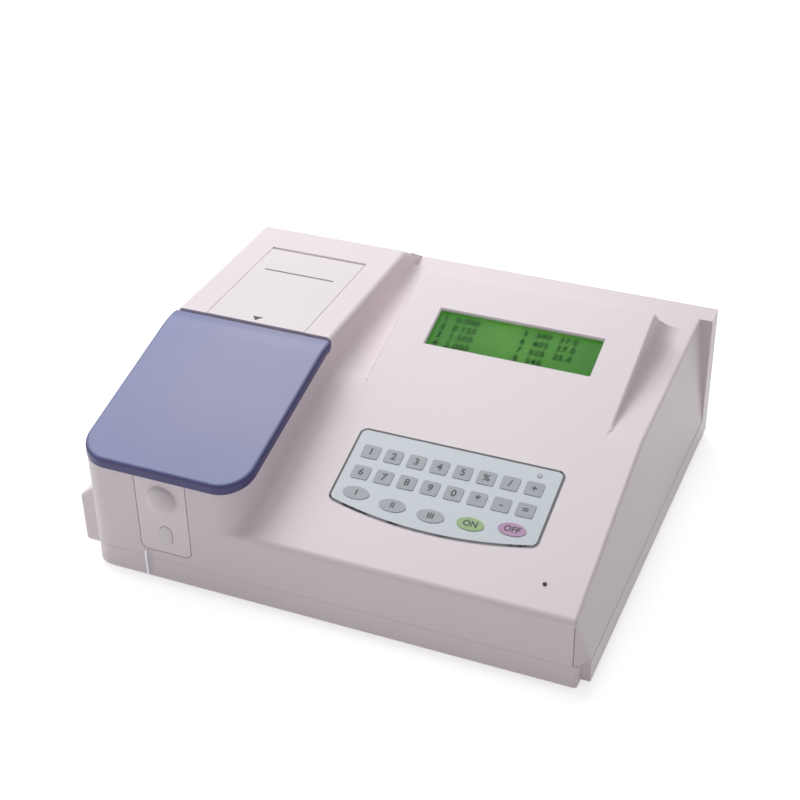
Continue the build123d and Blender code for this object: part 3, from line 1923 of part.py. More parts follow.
def make_fuse_holder():
    """Holder through the panel and its slotted screw cap."""
    start = plate_back + flange_proud
    end = start + cap_height
    reach = fuse_radius + flange_reach
    half = cap_slot / 2
    body = rod((fuse_x, plate_back - fuse_depth, inlet_z), (fuse_x, plate_back, inlet_z), fuse_radius)
    body += rod((fuse_x, plate_back, inlet_z), (fuse_x, start, inlet_z), reach)
    cap = rod((fuse_x, start, inlet_z), (fuse_x, end, inlet_z), fuse_radius)
    cap = chamfer(cap.faces().sort_by(Axis.Y)[-1].edges(), cap_edge)
    middle = (start + end) / 2
    cap -= block(fuse_x - half, fuse_x + half, middle, 2 * depth, inlet_z - reach, inlet_z + reach)
    return [body, cap]


save("fuse_holder", *make_fuse_holder())

rocker_radius = 7.6
rocker_half = 4.6
rocker_pivot = plate_back - 1.0
rocker_pin = 1.2
rocker_tilt = 8.0
rocker_floor = 10.0
rocker_valley = 2.4
switch_depth = 16.0
switch_corner = 1.5


def make_power_switch():
    switch = panel_socket(switch_x, inlet_z, switch_wide, switch_tall, switch_depth, switch_corner)
    half = rocker_half + fit
    reach = rocker_radius + fit
    floor_y = rocker_pivot - rocker_floor
    switch -= block(switch_x - half, switch_x + half, floor_y, depth, inlet_z - reach, inlet_z + reach)
    hole = half + 1
    left = (switch_x - hole, rocker_pivot, inlet_z)
    return switch - rod(left, (switch_x + hole, rocker_pivot, inlet_z), rocker_pin + running)


save("power_switch", make_power_switch())


def make_power_rocker():
    """Rocker with two flat faces meeting in a shallow valley, resting on its lower end."""
    left = switch_x - rocker_half
    right = switch_x + rocker_half
    drum = rod((left, 0, 0), (right, 0, 0), rocker_radius)
    rim = rocker_valley + rocker_radius * tan(radians(rocker_tilt))
    profile = [
        (-rocker_radius, -rocker_radius),
        (rim, -rocker_radius),
        (rocker_valley, 0),
        (rim, rocker_radius),
        (-rocker_radius, rocker_radius),
    ]
    rocker = drum & side_prism(profile, left, right)
    rocker += rod((left - 1, 0, 0), (right + 1, 0, 0), rocker_pin)
    return Pos(0, rocker_pivot, inlet_z) * Rot(rocker_tilt, 0, 0) * rocker


save("power_rocker", make_power_rocker())

port_flange_half = 15.5
port_flange_tall = 6.2
port_flange_thickness = 1.2
port_body_half = 9.5
port_body_tall = 5.2
port_body_depth = 10.0
shell_half = 8.5
shell_tall = 4.2
shell_slant = 1.5
shell_depth = 5.0
shell_corner = 1.5
port_pitch = 2.8
port_row = 1.4
port_hole = 0.6
hole_floor = lip_y - 3.0


def port_block(half, tall, y0, y1):
    return block(serial_x - half, serial_x + half, y0, y1, serial_z - tall, serial_z + tall)


def make_serial_port():
    """Nine-way socket: flange and body behind the panel, slanted metal shell through it."""
    step = lip_y - port_flange_thickness
    port = port_block(port_flange_half, port_flange_tall, step, lip_y)
    port += port_block(port_body_half, port_body_tall, lip_y - port_body_depth, step)
    outline = [
        (-shell_half, shell_tall),
        (shell_half, shell_tall),
        (shell_half - shell_slant, -shell_tall),
        (shell_slant - shell_half, -shell_tall),
    ]
    front = Plane(origin=(serial_x, lip_y, serial_z), x_dir=(1, 0, 0), z_dir=(0, -1, 0))
    shell = extrude(front * Polygon(*outline, align=None), shell_depth, dir=(0, 1, 0))
    port += fillet(shell.edges().filter_by(Axis.Y), shell_corner)
    for z, count in ((serial_z + port_row, 5), (serial_z - port_row, 4)):
        for i in range(count):
            x = serial_x + (i - (count - 1) / 2) * port_pitch
            port -= rod((x, hole_floor, z), (x, 2 * depth, z), port_hole)
    return port


save("serial_port", make_serial_port())
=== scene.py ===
import math

import bpy
from mathutils import Matrix, Vector


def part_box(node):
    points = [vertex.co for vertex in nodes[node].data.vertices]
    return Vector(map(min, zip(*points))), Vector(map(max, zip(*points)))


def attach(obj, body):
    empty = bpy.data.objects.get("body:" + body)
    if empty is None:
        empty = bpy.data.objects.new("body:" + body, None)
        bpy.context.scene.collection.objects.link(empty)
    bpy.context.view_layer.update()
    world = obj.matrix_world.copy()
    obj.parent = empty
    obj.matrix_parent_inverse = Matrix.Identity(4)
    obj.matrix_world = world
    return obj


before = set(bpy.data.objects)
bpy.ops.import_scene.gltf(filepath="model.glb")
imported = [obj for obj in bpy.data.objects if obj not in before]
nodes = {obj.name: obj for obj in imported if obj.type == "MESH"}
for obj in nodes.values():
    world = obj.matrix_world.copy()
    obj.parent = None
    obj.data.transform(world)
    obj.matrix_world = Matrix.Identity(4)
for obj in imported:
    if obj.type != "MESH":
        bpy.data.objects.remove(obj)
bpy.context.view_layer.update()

# ---------------------------------------------------------------- camera
# A long lens stands in front of the instrument, to its right and well above it.
camera_place = Vector((0.3985, -0.9375, 0.7529))
camera_turn = math.radians(23.287)
camera_fall = math.radians(33.041)
camera_roll = math.radians(-1.130)
lens_mm = 71.73

ahead = Vector(
    (
        -math.sin(camera_turn) * math.cos(camera_fall),
        math.cos(camera_turn) * math.cos(camera_fall),
        -math.sin(camera_fall),
    )
)
level = Vector((math.cos(camera_turn), math.sin(camera_turn), 0))
upright = level.cross(ahead)
right = math.cos(camera_roll) * level + math.sin(camera_roll) * upright
above = math.cos(camera_roll) * upright - math.sin(camera_roll) * level
camera_data = bpy.data.cameras.new("camera")
camera_data.lens = lens_mm
camera_data.sensor_width = 36
camera = bpy.data.objects.new("camera", camera_data)
camera.matrix_world = Matrix((right, above, -ahead)).transposed().to_4x4()
camera.location = camera_place
bpy.context.scene.collection.objects.link(camera)
bpy.context.scene.camera = camera
bpy.context.scene.view_settings.view_transform = "Standard"


# ---------------------------------------------------------------- studio
# A white seamless table under two large soft boxes. The background reads as white through the
# camera and in reflections, while the lamps alone light the instrument.
def linear(code):
    """Linear colour of an sRGB hex value."""
    channels = [int(code[i : i + 2], 16) / 255 for i in (1, 3, 5)]
    return [c / 12.92 if c <= 0.04045 else ((c + 0.055) / 1.055) ** 2.4 for c in channels] + [1.0]


def add(tree, kind, inputs=None, **settings):
    """Adds a node with its settings; inputs holds values or output sockets to link."""
    made = tree.nodes.new(kind)
    for key, value in settings.items():
        setattr(made, key, value)
    for key, value in (inputs or {}).items():
        if isinstance(value, bpy.types.NodeSocket):
            tree.links.new(value, made.inputs[key])
        else:
            made.inputs[key].default_value = value
    return made


def blank(name):
    """A new node material, emptied, and its tree."""
    material = bpy.data.materials.new(name)
    material.use_nodes = True
    material.node_tree.nodes.clear()
    return material, material.node_tree


def seen_directly(tree):
    """1 for camera, glossy and transmission rays, 0 for the rays that light surfaces."""
    path = add(tree, "ShaderNodeLightPath")
    share = path.outputs["Is Camera Ray"]
    for kind in ("Is Glossy Ray", "Is Transmission Ray"):
        either = add(tree, "ShaderNodeMath", {0: share, 1: path.outputs[kind]}, operation="MAXIMUM")
        share = either.outputs[0]
    return share


world = bpy.data.worlds.new("studio")
world.use_nodes = True
world.node_tree.nodes.clear()
bpy.context.scene.world = world
ambient_strength = 0.26
air = world.node_tree
seen = seen_directly(air)
strength = add(air, "ShaderNodeMapRange", {"Value": seen, "To Min": ambient_strength, "To Max": 1.0})
sky = add(air, "ShaderNodeBackground", {"Color": linear("#ffffff"), "Strength": strength.outputs[0]})
add(air, "ShaderNodeOutputWorld", {"Surface": sky.outputs[0]})

floor_reach = 3.0
bpy.ops.object.select_all(action="DESELECT")
bpy.ops.mesh.primitive_plane_add(size=2 * floor_reach, location=(0, 0, 0))
floor = bpy.context.object
floor.name = "table_top"
paper, tree = blank("white laminate")
shade = add(tree, "ShaderNodeBsdfDiffuse", {"Color": linear("#fbfafb")})
glow = add(tree, "ShaderNodeEmission", {"Color": linear("#ffffff"), "Strength": 0.62})
lit = add(tree, "ShaderNodeAddShader", {0: shade.outputs[0], 1: glow.outputs[0]})
pale = add(tree, "ShaderNodeMixShader", {0: seen_directly(tree), 1: shade.outputs[0], 2: lit.outputs[0]})
add(tree, "ShaderNodeOutputMaterial", {"Surface": pale.outputs[0]})
floor.data.materials.append(paper)


def soft_box(name, place, aim, size, power):
    """A square area lamp at place, facing aim."""
    data = bpy.data.lights.new(name, "AREA")
    data.size = size
    data.energy = power
    lamp = bpy.data.objects.new(name, data)
    lamp.location = place
    lamp.rotation_euler = (Vector(aim) - Vector(place)).to_track_quat("-Z", "Y").to_euler()
    bpy.context.scene.collection.objects.link(lamp)


soft_box("overhead", (-0.5, 0.5, 1.35), (-0.05, 0.05, 0.05), 1.3, 16.5)
soft_box("front_fill", (-1.3, -1.3, 0.7), (0, 0, 0.05), 1.2, 3.0)


# ---------------------------------------------------------------- case
# The upper case, the tray under it and the rear frame are injection-moulded ABS, warm white with a
# fine spark-eroded texture. They are screwed together from below.
def moulded(name, code, grain_mm=0.9, rough=0.42, tone=0.03, depth_mm=0.02, coat=0.0, ior=1.53):
    """Moulded plastic: an even spark texture and a tone that drifts a little over the part."""
    material, tree = blank(name)
    place = add(tree, "ShaderNodeTexCoord").outputs["Object"]
    drift = add(tree, "ShaderNodeTexNoise", {"Vector": place, "Scale": 9.0, "Detail": 3.0})
    grain = add(tree, "ShaderNodeTexNoise", {"Vector": place, "Scale": 1000 / grain_mm, "Detail": 2.0})
    base = Vector(linear(code)[:3])
    tint = add(
        tree,
        "ShaderNodeMix",
        {0: drift.outputs["Fac"], 6: [*(base * (1 - tone)), 1.0], 7: [*(base * (1 + tone)), 1.0]},
        data_type="RGBA",
    )
    gloss = add(
        tree,
        "ShaderNodeMapRange",
        {"Value": grain.outputs["Fac"], "To Min": rough - 0.06, "To Max": rough + 0.06},
    )
    relief = add(
        tree,
        "ShaderNodeBump",
        {"Strength": 0.4, "Distance": depth_mm / 1000, "Height": grain.outputs["Fac"]},
    )
    skin = add(
        tree,
        "ShaderNodeBsdfPrincipled",
        {
            "Base Color": tint.outputs[2],
            "Roughness": gloss.outputs[0],
            "IOR": ior,
            "Coat Weight": coat,
            "Normal": relief.outputs[0],
        },
    )
    add(tree, "ShaderNodeOutputMaterial", {"Surface": skin.outputs[0]})
    return material


def dress(material, *names):
    """Gives CAD nodes a material."""
    for name in names:
        nodes[name].data.materials.clear()
        nodes[name].data.materials.append(material)


case_abs = moulded("spark-textured ABS", "#ede2e7")
dress(case_abs, "top_case", "base_tray", "rear_frame")


# ---------------------------------------------------------------- sample lid
# A lilac lid over the flow cell, moulded in through-dyed ABS and lacquered. Its colour carries painted
# shade: faces that turn down over the rounded edge are painted dark violet, and the top is painted darker
# and bluer towards its left and front edges.
# The first colour is the top's own; the next two are painted shade, for the top's left and front edges and
# for the faces that turn down.
lid_face = "#7f81a8"
lid_face_painted_shade = "#7178a9"
lid_edge_painted_shade = "#312b6c"
lid_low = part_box("sample_lid")[0]
edge_shade_reach = 0.075
peel_mm = 3.0
lacquer, tree = blank("lacquered lilac ABS")
coords = add(tree, "ShaderNodeTexCoord")
facing = add(tree, "ShaderNodeSeparateXYZ", {0: coords.outputs["Normal"]}).outputs["Z"]
spot = add(tree, "ShaderNodeSeparateXYZ", {0: coords.outputs["Object"]})
place = coords.outputs["Object"]
orange_peel = add(tree, "ShaderNodeTexNoise", {"Vector": place, "Scale": 1000 / peel_mm, "Detail": 1.0})
cloud = add(tree, "ShaderNodeTexNoise", {"Vector": place, "Scale": 14.0, "Detail": 2.0})
inward = add(
    tree,
    "ShaderNodeMapRange",
    {"Value": spot.outputs["X"], "From Min": lid_low.x, "From Max": lid_low.x + edge_shade_reach},
    interpolation_type="SMOOTHSTEP",
)
rearward = add(
    tree,
    "ShaderNodeMapRange",
    {"Value": spot.outputs["Y"], "From Min": lid_low.y, "From Max": lid_low.y + edge_shade_reach},
    interpolation_type="SMOOTHSTEP",
)
# Painted shade: the top fades to the darker, bluer tone within this reach of its left and front edges.
share = add(tree, "ShaderNodeMath", {0: inward.outputs[0], 1: rearward.outputs[0]}, operation="MULTIPLY")
face_with_painted_shade = add(
    tree,
    "ShaderNodeMix",
    {0: share.outputs[0], 6: linear(lid_face_painted_shade), 7: linear(lid_face)},
    data_type="RGBA",
)
# Painted shade: faces that tilt away from straight up are turned dark violet.
turned_down_shade_mask = add(
    tree,
    "ShaderNodeMapRange",
    {"Value": facing, "From Min": 0.6, "From Max": 0.94},
    interpolation_type="SMOOTHSTEP",
)
face_and_painted_edge_shade = add(
    tree,
    "ShaderNodeMix",
    {0: turned_down_shade_mask.outputs[0], 6: linear(lid_edge_painted_shade), 7: face_with_painted_shade.outputs[2]},
    data_type="RGBA",
)
ripple = add(
    tree,
    "ShaderNodeBump",
    {"Strength": 0.2, "Distance": 0.00002, "Height": orange_peel.outputs["Fac"]},
)
lacquer_rough = add(
    tree,
    "ShaderNodeMapRange",
    {"Value": cloud.outputs["Fac"], "To Min": 0.4, "To Max": 0.5},
)
shell = add(
    tree,
    "ShaderNodeBsdfPrincipled",
    {
        "Base Color": face_and_painted_edge_shade.outputs[2],
        "Roughness": lacquer_rough.outputs[0],
        "IOR": 1.5,
        "Coat Weight": 0.3,
        "Coat Roughness": 0.15,
        "Normal": ripple.outputs[0],
    },
)
add(tree, "ShaderNodeOutputMaterial", {"Surface": shell.outputs[0]})
dress(lacquer, "sample_lid")


# ---------------------------------------------------------------- front access panel and sipper
# The small panel unclips to reach the tubing. It is moulded like the case, with a domed hood over
# the sipper's outlet and an oval aspirate button that is glossier from being pressed.
# Painted light: the panel's colour is paler than the case's to make up for the shade the lid's overhang
# casts on it.
dress(moulded("access panel ABS lightened against shade", "#f5eaef"), "access_panel")
dress(moulded("smooth ABS", "#efe5ea", rough=0.34), "sipper_hood")
dress(moulded("worn smooth ABS", "#ece3e9", grain_mm=1.6, rough=0.3), "aspirate_button")
dress(moulded("black polyamide", "#1d1d20", rough=0.5), "button_switch")


# Drawn steel has faint lines along its length; turned steel has them round it. Both come from a
# noise that is stretched one way.
def worked_metal(name, code, rough=0.3, line_mm=(0.3, 6.0, 0.3), wear=0.06):
    """Bare or plated metal with tool lines of the given size along each axis."""
    material, tree = blank(name)
    place = add(tree, "ShaderNodeTexCoord").outputs["Object"]
    stretched = add(tree, "ShaderNodeMapping", {"Vector": place, "Scale": [1000 / mm for mm in line_mm]})
    lines = add(tree, "ShaderNodeTexNoise", {"Vector": stretched.outputs[0], "Scale": 1.0, "Detail": 3.0})
    smudge = add(tree, "ShaderNodeTexNoise", {"Vector": place, "Scale": 60.0, "Detail": 4.0})
    base = Vector(linear(code)[:3])
    tint = add(
        tree,
        "ShaderNodeMix",
        {0: smudge.outputs["Fac"], 6: [*(base * (1 - wear)), 1.0], 7: [*(base * (1 + wear)), 1.0]},
        data_type="RGBA",
    )
    gloss = add(
        tree,
        "ShaderNodeMapRange",
        {"Value": lines.outputs["Fac"], "To Min": rough - 0.1, "To Max": rough + 0.1},
    )
    relief = add(
        tree,
        "ShaderNodeBump",
        {"Strength": 0.3, "Distance": 0.00001, "Height": lines.outputs["Fac"]},
    )
    skin = add(
        tree,
        "ShaderNodeBsdfPrincipled",
        {
            "Base Color": tint.outputs[2],
            "Roughness": gloss.outputs[0],
            "Metallic": 1.0,
            "Normal": relief.outputs[0],
        },
    )
    add(tree, "ShaderNodeOutputMaterial", {"Surface": skin.outputs[0]})
    return material


drawn_steel = worked_metal("drawn stainless steel", "#d6d6dc", rough=0.22, line_mm=(0.2, 0.2, 5.0))
dress(drawn_steel, "sipper_needle")

# ---------------------------------------------------------------- peristaltic pump
# The pump head on the left wall: an acetal rotor with three steel rollers presses a clear
# silicone tube against an acetal track, under an ABS cover that snaps on.
dress(moulded("pump cover ABS", "#ede2e7"), "pump_cover")
dress(moulded("white acetal", "#e8e6df", grain_mm=0.4, rough=0.35), "pump_rotor", "pump_track")
dress(worked_metal("ground roller steel", "#cfd0d4", rough=0.18, line_mm=(4.0, 0.2, 0.2)), "pump_rollers")
dress(worked_metal("zinc-plated motor can", "#b4b7ba", rough=0.33, line_mm=(5.0, 0.4, 0.4)), "pump_motor")
haze_mm = 2.5
silicone, tree = blank("clear silicone")
place = add(tree, "ShaderNodeTexCoord").outputs["Object"]
haze = add(tree, "ShaderNodeTexNoise", {"Vector": place, "Scale": 1000 / haze_mm, "Detail": 2.0})
cloudy = add(tree, "ShaderNodeMapRange", {"Value": haze.outputs["Fac"], "To Min": 0.25, "To Max": 0.42})
soft = add(
    tree,
    "ShaderNodeBsdfPrincipled",
    {
        "Base Color": linear("#e9ebe6"),
        "Roughness": cloudy.outputs[0],
        "IOR": 1.41,
        "Transmission Weight": 0.45,
        "Subsurface Weight": 0.3,
        "Subsurface Radius": (0.002, 0.002, 0.002),
    },
)
add(tree, "ShaderNodeOutputMaterial", {"Surface": soft.outputs[0]})
dress(silicone, "pump_tube")

# ---------------------------------------------------------------- sample compartment
# A black tub drops into the deck so that spills stay out of the optics. It is moulded
# polypropylene with a dull satin texture, and the lid's two steel pins sit behind it.
dress(moulded("black polypropylene", "#232327", grain_mm=1.2, rough=0.5), "compartment_tub")
dress(worked_metal("ground steel pin", "#c9cacf", rough=0.2, line_mm=(5.0, 0.2, 0.2)), "lid_pins")

# ---------------------------------------------------------------- optics
# Everything on the optical path is black or dull so that stray light dies: an anodised filter
# wheel and cell block, a crinkled lamp housing and a rolled aluminium base plate.
rolled = worked_metal("rolled aluminium plate", "#b9bbbf", rough=0.36, line_mm=(9.0, 0.5, 0.5))
dress(rolled, "optics_plate")
anodised = worked_metal("black anodised aluminium", "#2a2a2f", rough=0.4, line_mm=(0.6, 0.6, 0.6))
dress(anodised, "cell_block", "filter_wheel")
dress(moulded("black crinkle paint", "#1b1b1d", grain_mm=1.5, rough=0.6, depth_mm=0.12), "lamp_housing")
nickel_can = worked_metal("nickel-plated motor can", "#c2c0b8", rough=0.28, line_mm=(3.0, 0.4, 0.4))
dress(nickel_can, "wheel_motor")
dress(moulded("black detector housing", "#202226", rough=0.45), "detector")


def clear_glass(name, code, ior, rough=0.0, smear=0.05, shine=0.5):
    """Polished glass or quartz with a faint haze of fingerprints."""
    material, tree = blank(name)
    place = add(tree, "ShaderNodeTexCoord").outputs["Object"]
    prints = add(tree, "ShaderNodeTexNoise", {"Vector": place, "Scale": 180.0, "Detail": 5.0})
    haze = add(
        tree,
        "ShaderNodeMapRange",
        {"Value": prints.outputs["Fac"], "To Min": rough, "To Max": rough + smear},
    )
    body = add(
        tree,
        "ShaderNodeBsdfPrincipled",
        {
            "Base Color": linear(code),
            "Roughness": haze.outputs[0],
            "IOR": ior,
            "Specular IOR Level": shine,
            "Transmission Weight": 1.0,
        },
    )
    add(tree, "ShaderNodeOutputMaterial", {"Surface": body.outputs[0]})
    return material


dress(clear_glass("fused quartz", "#fbfcff", 1.46), "flow_cell", "halogen_lamp")

# Eight interference filters, each with its own colour, set in a ring round the wheel's axle.
filter_glass, tree = blank("interference filter glass")
place = add(tree, "ShaderNodeTexCoord").outputs["Object"]
wheel_low, wheel_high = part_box("filter_wheel")
spoke = add(tree, "ShaderNodeMapping", {"Vector": place, "Location": -(wheel_low + wheel_high) / 2})
sides = add(tree, "ShaderNodeSeparateXYZ", {0: spoke.outputs[0]})
turn = add(tree, "ShaderNodeMath", {0: sides.outputs["Y"], 1: sides.outputs["Z"]}, operation="ARCTAN2")
share = add(
    tree,
    "ShaderNodeMapRange",
    {"Value": turn.outputs[0], "From Min": -math.pi, "From Max": math.pi},
)
filter_count = 8
hue = add(tree, "ShaderNodeMath", {0: share.outputs[0], 1: filter_count}, operation="MULTIPLY")
step = add(tree, "ShaderNodeMath", {0: hue.outputs[0]}, operation="ROUND")
band = add(tree, "ShaderNodeMath", {0: step.outputs[0], 1: filter_count + 1}, operation="DIVIDE")
dye = add(tree, "ShaderNodeCombineColor", {0: band.outputs[0], 1: 0.75, 2: 0.7}, mode="HSV")
sheen = add(tree, "ShaderNodeTexNoise", {"Vector": place, "Scale": 400.0})
polish = add(tree, "ShaderNodeMapRange", {"Value": sheen.outputs["Fac"], "To Min": 0.04, "To Max": 0.1})
glass = add(
    tree,
    "ShaderNodeBsdfPrincipled",
    {"Base Color": dye.outputs[0], "Roughness": polish.outputs[0], "IOR": 1.52, "Transmission Weight": 0.6},
)
add(tree, "ShaderNodeOutputMaterial", {"Surface": glass.outputs[0]})
dress(filter_glass, "filters")

# ---------------------------------------------------------------- printer
# A thermal printer for 57 mm paper drops into the tower. Its cover is moulded like the case, with
# a dark printed triangle that points to the edge where a finger lifts it.
dress(moulded("printer cover ABS", "#eae3e7"), "printer_cover")
dress(moulded("grey polystyrene", "#8d8d94", rough=0.5), "printer_bay")
spangle_mm = (4.0, 4.0, 4.0)
galvanised = worked_metal("galvanised sheet steel", "#b0b4b8", rough=0.38, line_mm=spangle_mm, wear=0.14)
dress(galvanised, "printer_frame")
dress(moulded("nitrile rubber", "#2b2b2e", grain_mm=0.6, rough=0.75, depth_mm=0.03), "platen_roller")
dress(moulded("natural acetal", "#e5e1d2", grain_mm=0.4, rough=0.38), "platen_gear")
dress(worked_metal("hobbed brass", "#c9a457", rough=0.3, line_mm=(2.0, 0.2, 0.2)), "motor_pinion")
dress(worked_metal("stepper motor can", "#9fa2a6", rough=0.34, line_mm=(3.0, 0.5, 0.5)), "printer_motor")

thermal_paper, tree = blank("coated thermal paper")
place = add(tree, "ShaderNodeTexCoord").outputs["Object"]
roll_low, roll_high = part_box("paper_roll")
centred = add(tree, "ShaderNodeMapping", {"Vector": place, "Location": -(roll_low + roll_high) / 2})
parts = add(tree, "ShaderNodeSeparateXYZ", {0: centred.outputs[0]})
flat = add(tree, "ShaderNodeCombineXYZ", {"X": 0.0, "Y": parts.outputs["Y"], "Z": parts.outputs["Z"]})
away = add(tree, "ShaderNodeVectorMath", {0: flat.outputs[0]}, operation="LENGTH")
layer_mm = 0.35
wave = 2 * math.pi * 1000 / layer_mm
turns = add(tree, "ShaderNodeMath", {0: away.outputs["Value"], 1: wave}, operation="MULTIPLY")
layers = add(tree, "ShaderNodeMath", {0: turns.outputs[0]}, operation="SINE")
tint = add(
    tree,
    "ShaderNodeMix",
    {0: layers.outputs[0], 6: linear("#dddbd2"), 7: linear("#f2f1ec")},
    data_type="RGBA",
)
relief = add(tree, "ShaderNodeBump", {"Strength": 0.3, "Distance": 0.00003, "Height": layers.outputs[0]})
sheet = add(
    tree,
    "ShaderNodeBsdfPrincipled",
    {"Base Color": tint.outputs[2], "Roughness": 0.55, "Normal": relief.outputs[0]},
)
add(tree, "ShaderNodeOutputMaterial", {"Surface": sheet.outputs[0]})
dress(thermal_paper, "paper_roll")

ink = moulded("black pad-printed ink", "#26242a", grain_mm=0.5, rough=0.5, depth_mm=0.005)
cover_low, cover_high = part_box("printer_cover")
arrow_place = (-0.1214, cover_low.y + 0.0068, cover_high.z)
arrow_radius = 0.0052
arrow_stretch = (0.95, 0.72, 1.0)
ink_height = 0.00006
bpy.ops.object.select_all(action="DESELECT")
bpy.ops.mesh.primitive_circle_add(vertices=3, radius=arrow_radius, fill_type="NGON")
arrow = bpy.context.object
arrow.name = "cover_arrow"
bpy.ops.object.mode_set(mode="EDIT")
bpy.ops.mesh.select_all(action="SELECT")
bpy.ops.transform.rotate(value=math.pi, orient_axis="Z", center_override=(0, 0, 0))
bpy.ops.transform.resize(value=arrow_stretch, center_override=(0, 0, 0))
bpy.ops.mesh.extrude_region_move(TRANSFORM_OT_translate={"value": (0, 0, ink_height)})
bpy.ops.mesh.select_all(action="SELECT")
bpy.ops.mesh.normals_make_consistent(inside=False)
bpy.ops.object.mode_set(mode="OBJECT")
arrow.location = arrow_place
bpy.ops.object.transform_apply(location=True, rotation=True, scale=True)
arrow.data.materials.append(ink)
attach(arrow, "printer_lid")

# ---------------------------------------------------------------- display
# A backlit yellow-green STN glass behind a clear acrylic window. The glass is held in a black
# steel bezel on its own circuit board. Its rows are dark dots that show plain numbers.
panel_tilt = math.radians(17.0)
panel_origin = Vector((-0.186, -0.1665, 0.062))


def on_panel(x_mm, s_mm, h_mm):
    """Matrix of a place x along, s up and h above the sloped panel."""
    tilt = Matrix.Translation(panel_origin) @ Matrix.Rotation(panel_tilt, 4, "X")
    return tilt @ Matrix.Translation(Vector((x_mm, s_mm, h_mm)) / 1000)


# The middle of the display, across from the left wall and up the panel, in mm. The lamp behind
# the glass is brightest in the middle and fades over its reach, in metres.
display_x = 254.0
display_s = 227.7
glow_reach = 0.07
display_glow = 1.0
stn, tree = blank("backlit STN glass")
place = add(tree, "ShaderNodeTexCoord").outputs["Object"]
untilt = on_panel(display_x, display_s, 0).inverted()
level_glass = add(
    tree,
    "ShaderNodeMapping",
    {"Vector": place, "Location": untilt.translation, "Rotation": (-panel_tilt, 0, 0)},
)
away = add(tree, "ShaderNodeVectorMath", {0: level_glass.outputs[0]}, operation="LENGTH")
fade = add(
    tree,
    "ShaderNodeMapRange",
    {"Value": away.outputs["Value"], "From Max": glow_reach, "To Min": 1.0, "To Max": 0.0},
)
mottle = add(tree, "ShaderNodeTexNoise", {"Vector": place, "Scale": 40.0, "Detail": 2.0})
lit_share = add(
    tree,
    "ShaderNodeMath",
    {0: fade.outputs[0], 1: mottle.outputs["Fac"]},
    operation="MULTIPLY",
)
green = add(
    tree,
    "ShaderNodeMix",
    {0: lit_share.outputs[0], 6: linear("#2b6a1a"), 7: linear("#5c9638")},
    data_type="RGBA",
)
panel_glass = add(
    tree,
    "ShaderNodeBsdfPrincipled",
    {
        "Base Color": linear("#1d3a1a"),
        "Roughness": 0.35,
        "Specular IOR Level": 0.1,
        "Emission Color": green.outputs[2],
        "Emission Strength": display_glow,
    },
)
add(tree, "ShaderNodeOutputMaterial", {"Surface": panel_glass.outputs[0]})
dress(stn, "lcd_glass")
dress(clear_glass("coated clear acrylic", "#f4f8f4", 1.12, smear=0.004, shine=0.1), "lcd_window")
bezel = worked_metal("black painted bezel steel", "#26272a", rough=0.45, line_mm=(2.0, 2.0, 2.0))
dress(bezel, "lcd_frame")

display_ink = moulded("dark crystal dots", "#0a2a10", grain_mm=0.4, rough=0.5, depth_mm=0.002, ior=1.05)


def printed(name, text, size_mm, matrix, ink_material, bold_mm, align="CENTER", spacing=1.0):
    """Flat marks made from text, turned to mesh and laid on the surface at matrix."""
    bpy.ops.object.select_all(action="DESELECT")
    bpy.ops.object.text_add(location=(0, 0, 0))
    marks = bpy.context.object
    marks.name = name
    marks.data.body = text
    marks.data.size = size_mm / 1000
    marks.data.align_x = align
    marks.data.align_y = "CENTER"
    marks.data.offset = bold_mm / 1000
    marks.data.space_character = spacing
    marks.data.resolution_u = 3
    marks.data.extrude = ink_height / 2
    bpy.ops.object.convert(target="MESH")
    marks = bpy.context.object
    marks.matrix_world = matrix
    bpy.ops.object.transform_apply(location=True, rotation=True, scale=True)
    marks.data.materials.clear()
    marks.data.materials.append(ink_material)
    return marks


def joined(name, pieces):
    """Several like pieces as one object."""
    bpy.ops.object.select_all(action="DESELECT")
    for piece in pieces:
        piece.select_set(True)
    bpy.context.view_layer.objects.active = pieces[0]
    bpy.ops.object.join()
    pieces[0].name = name
    return pieces[0]


# The dots lie just above the glass, which is under the window and the panel's step.
window_sink = 2.8
window_thick = 1.6
dot_lift = 0.05
row_level = dot_lift - window_sink - window_thick
row_pitch = 8.9
digit_mm = 8.2
digit_bold = 0.2
digit_spacing = 1.1
readings = (
    ("1  0.000", "5  340  37.0"),
    ("2  0.125", "6  405  37.0"),
    ("3  1.500", "7  505  25.0"),
    ("4  2.000", "8  546"),
)
column_starts = (display_x - 62, display_x + 3)
rows = []
for i, texts in enumerate(readings):
    s = display_s + ((len(readings) - 1) / 2 - i) * row_pitch
    for x, text in zip(column_starts, texts):
        spot = on_panel(x, s, row_level)
        row = printed("row", text, digit_mm, spot, display_ink, digit_bold, "LEFT", digit_spacing)
        rows.append(row)
display_rows = joined("display_rows", rows)
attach(display_rows, "chassis")


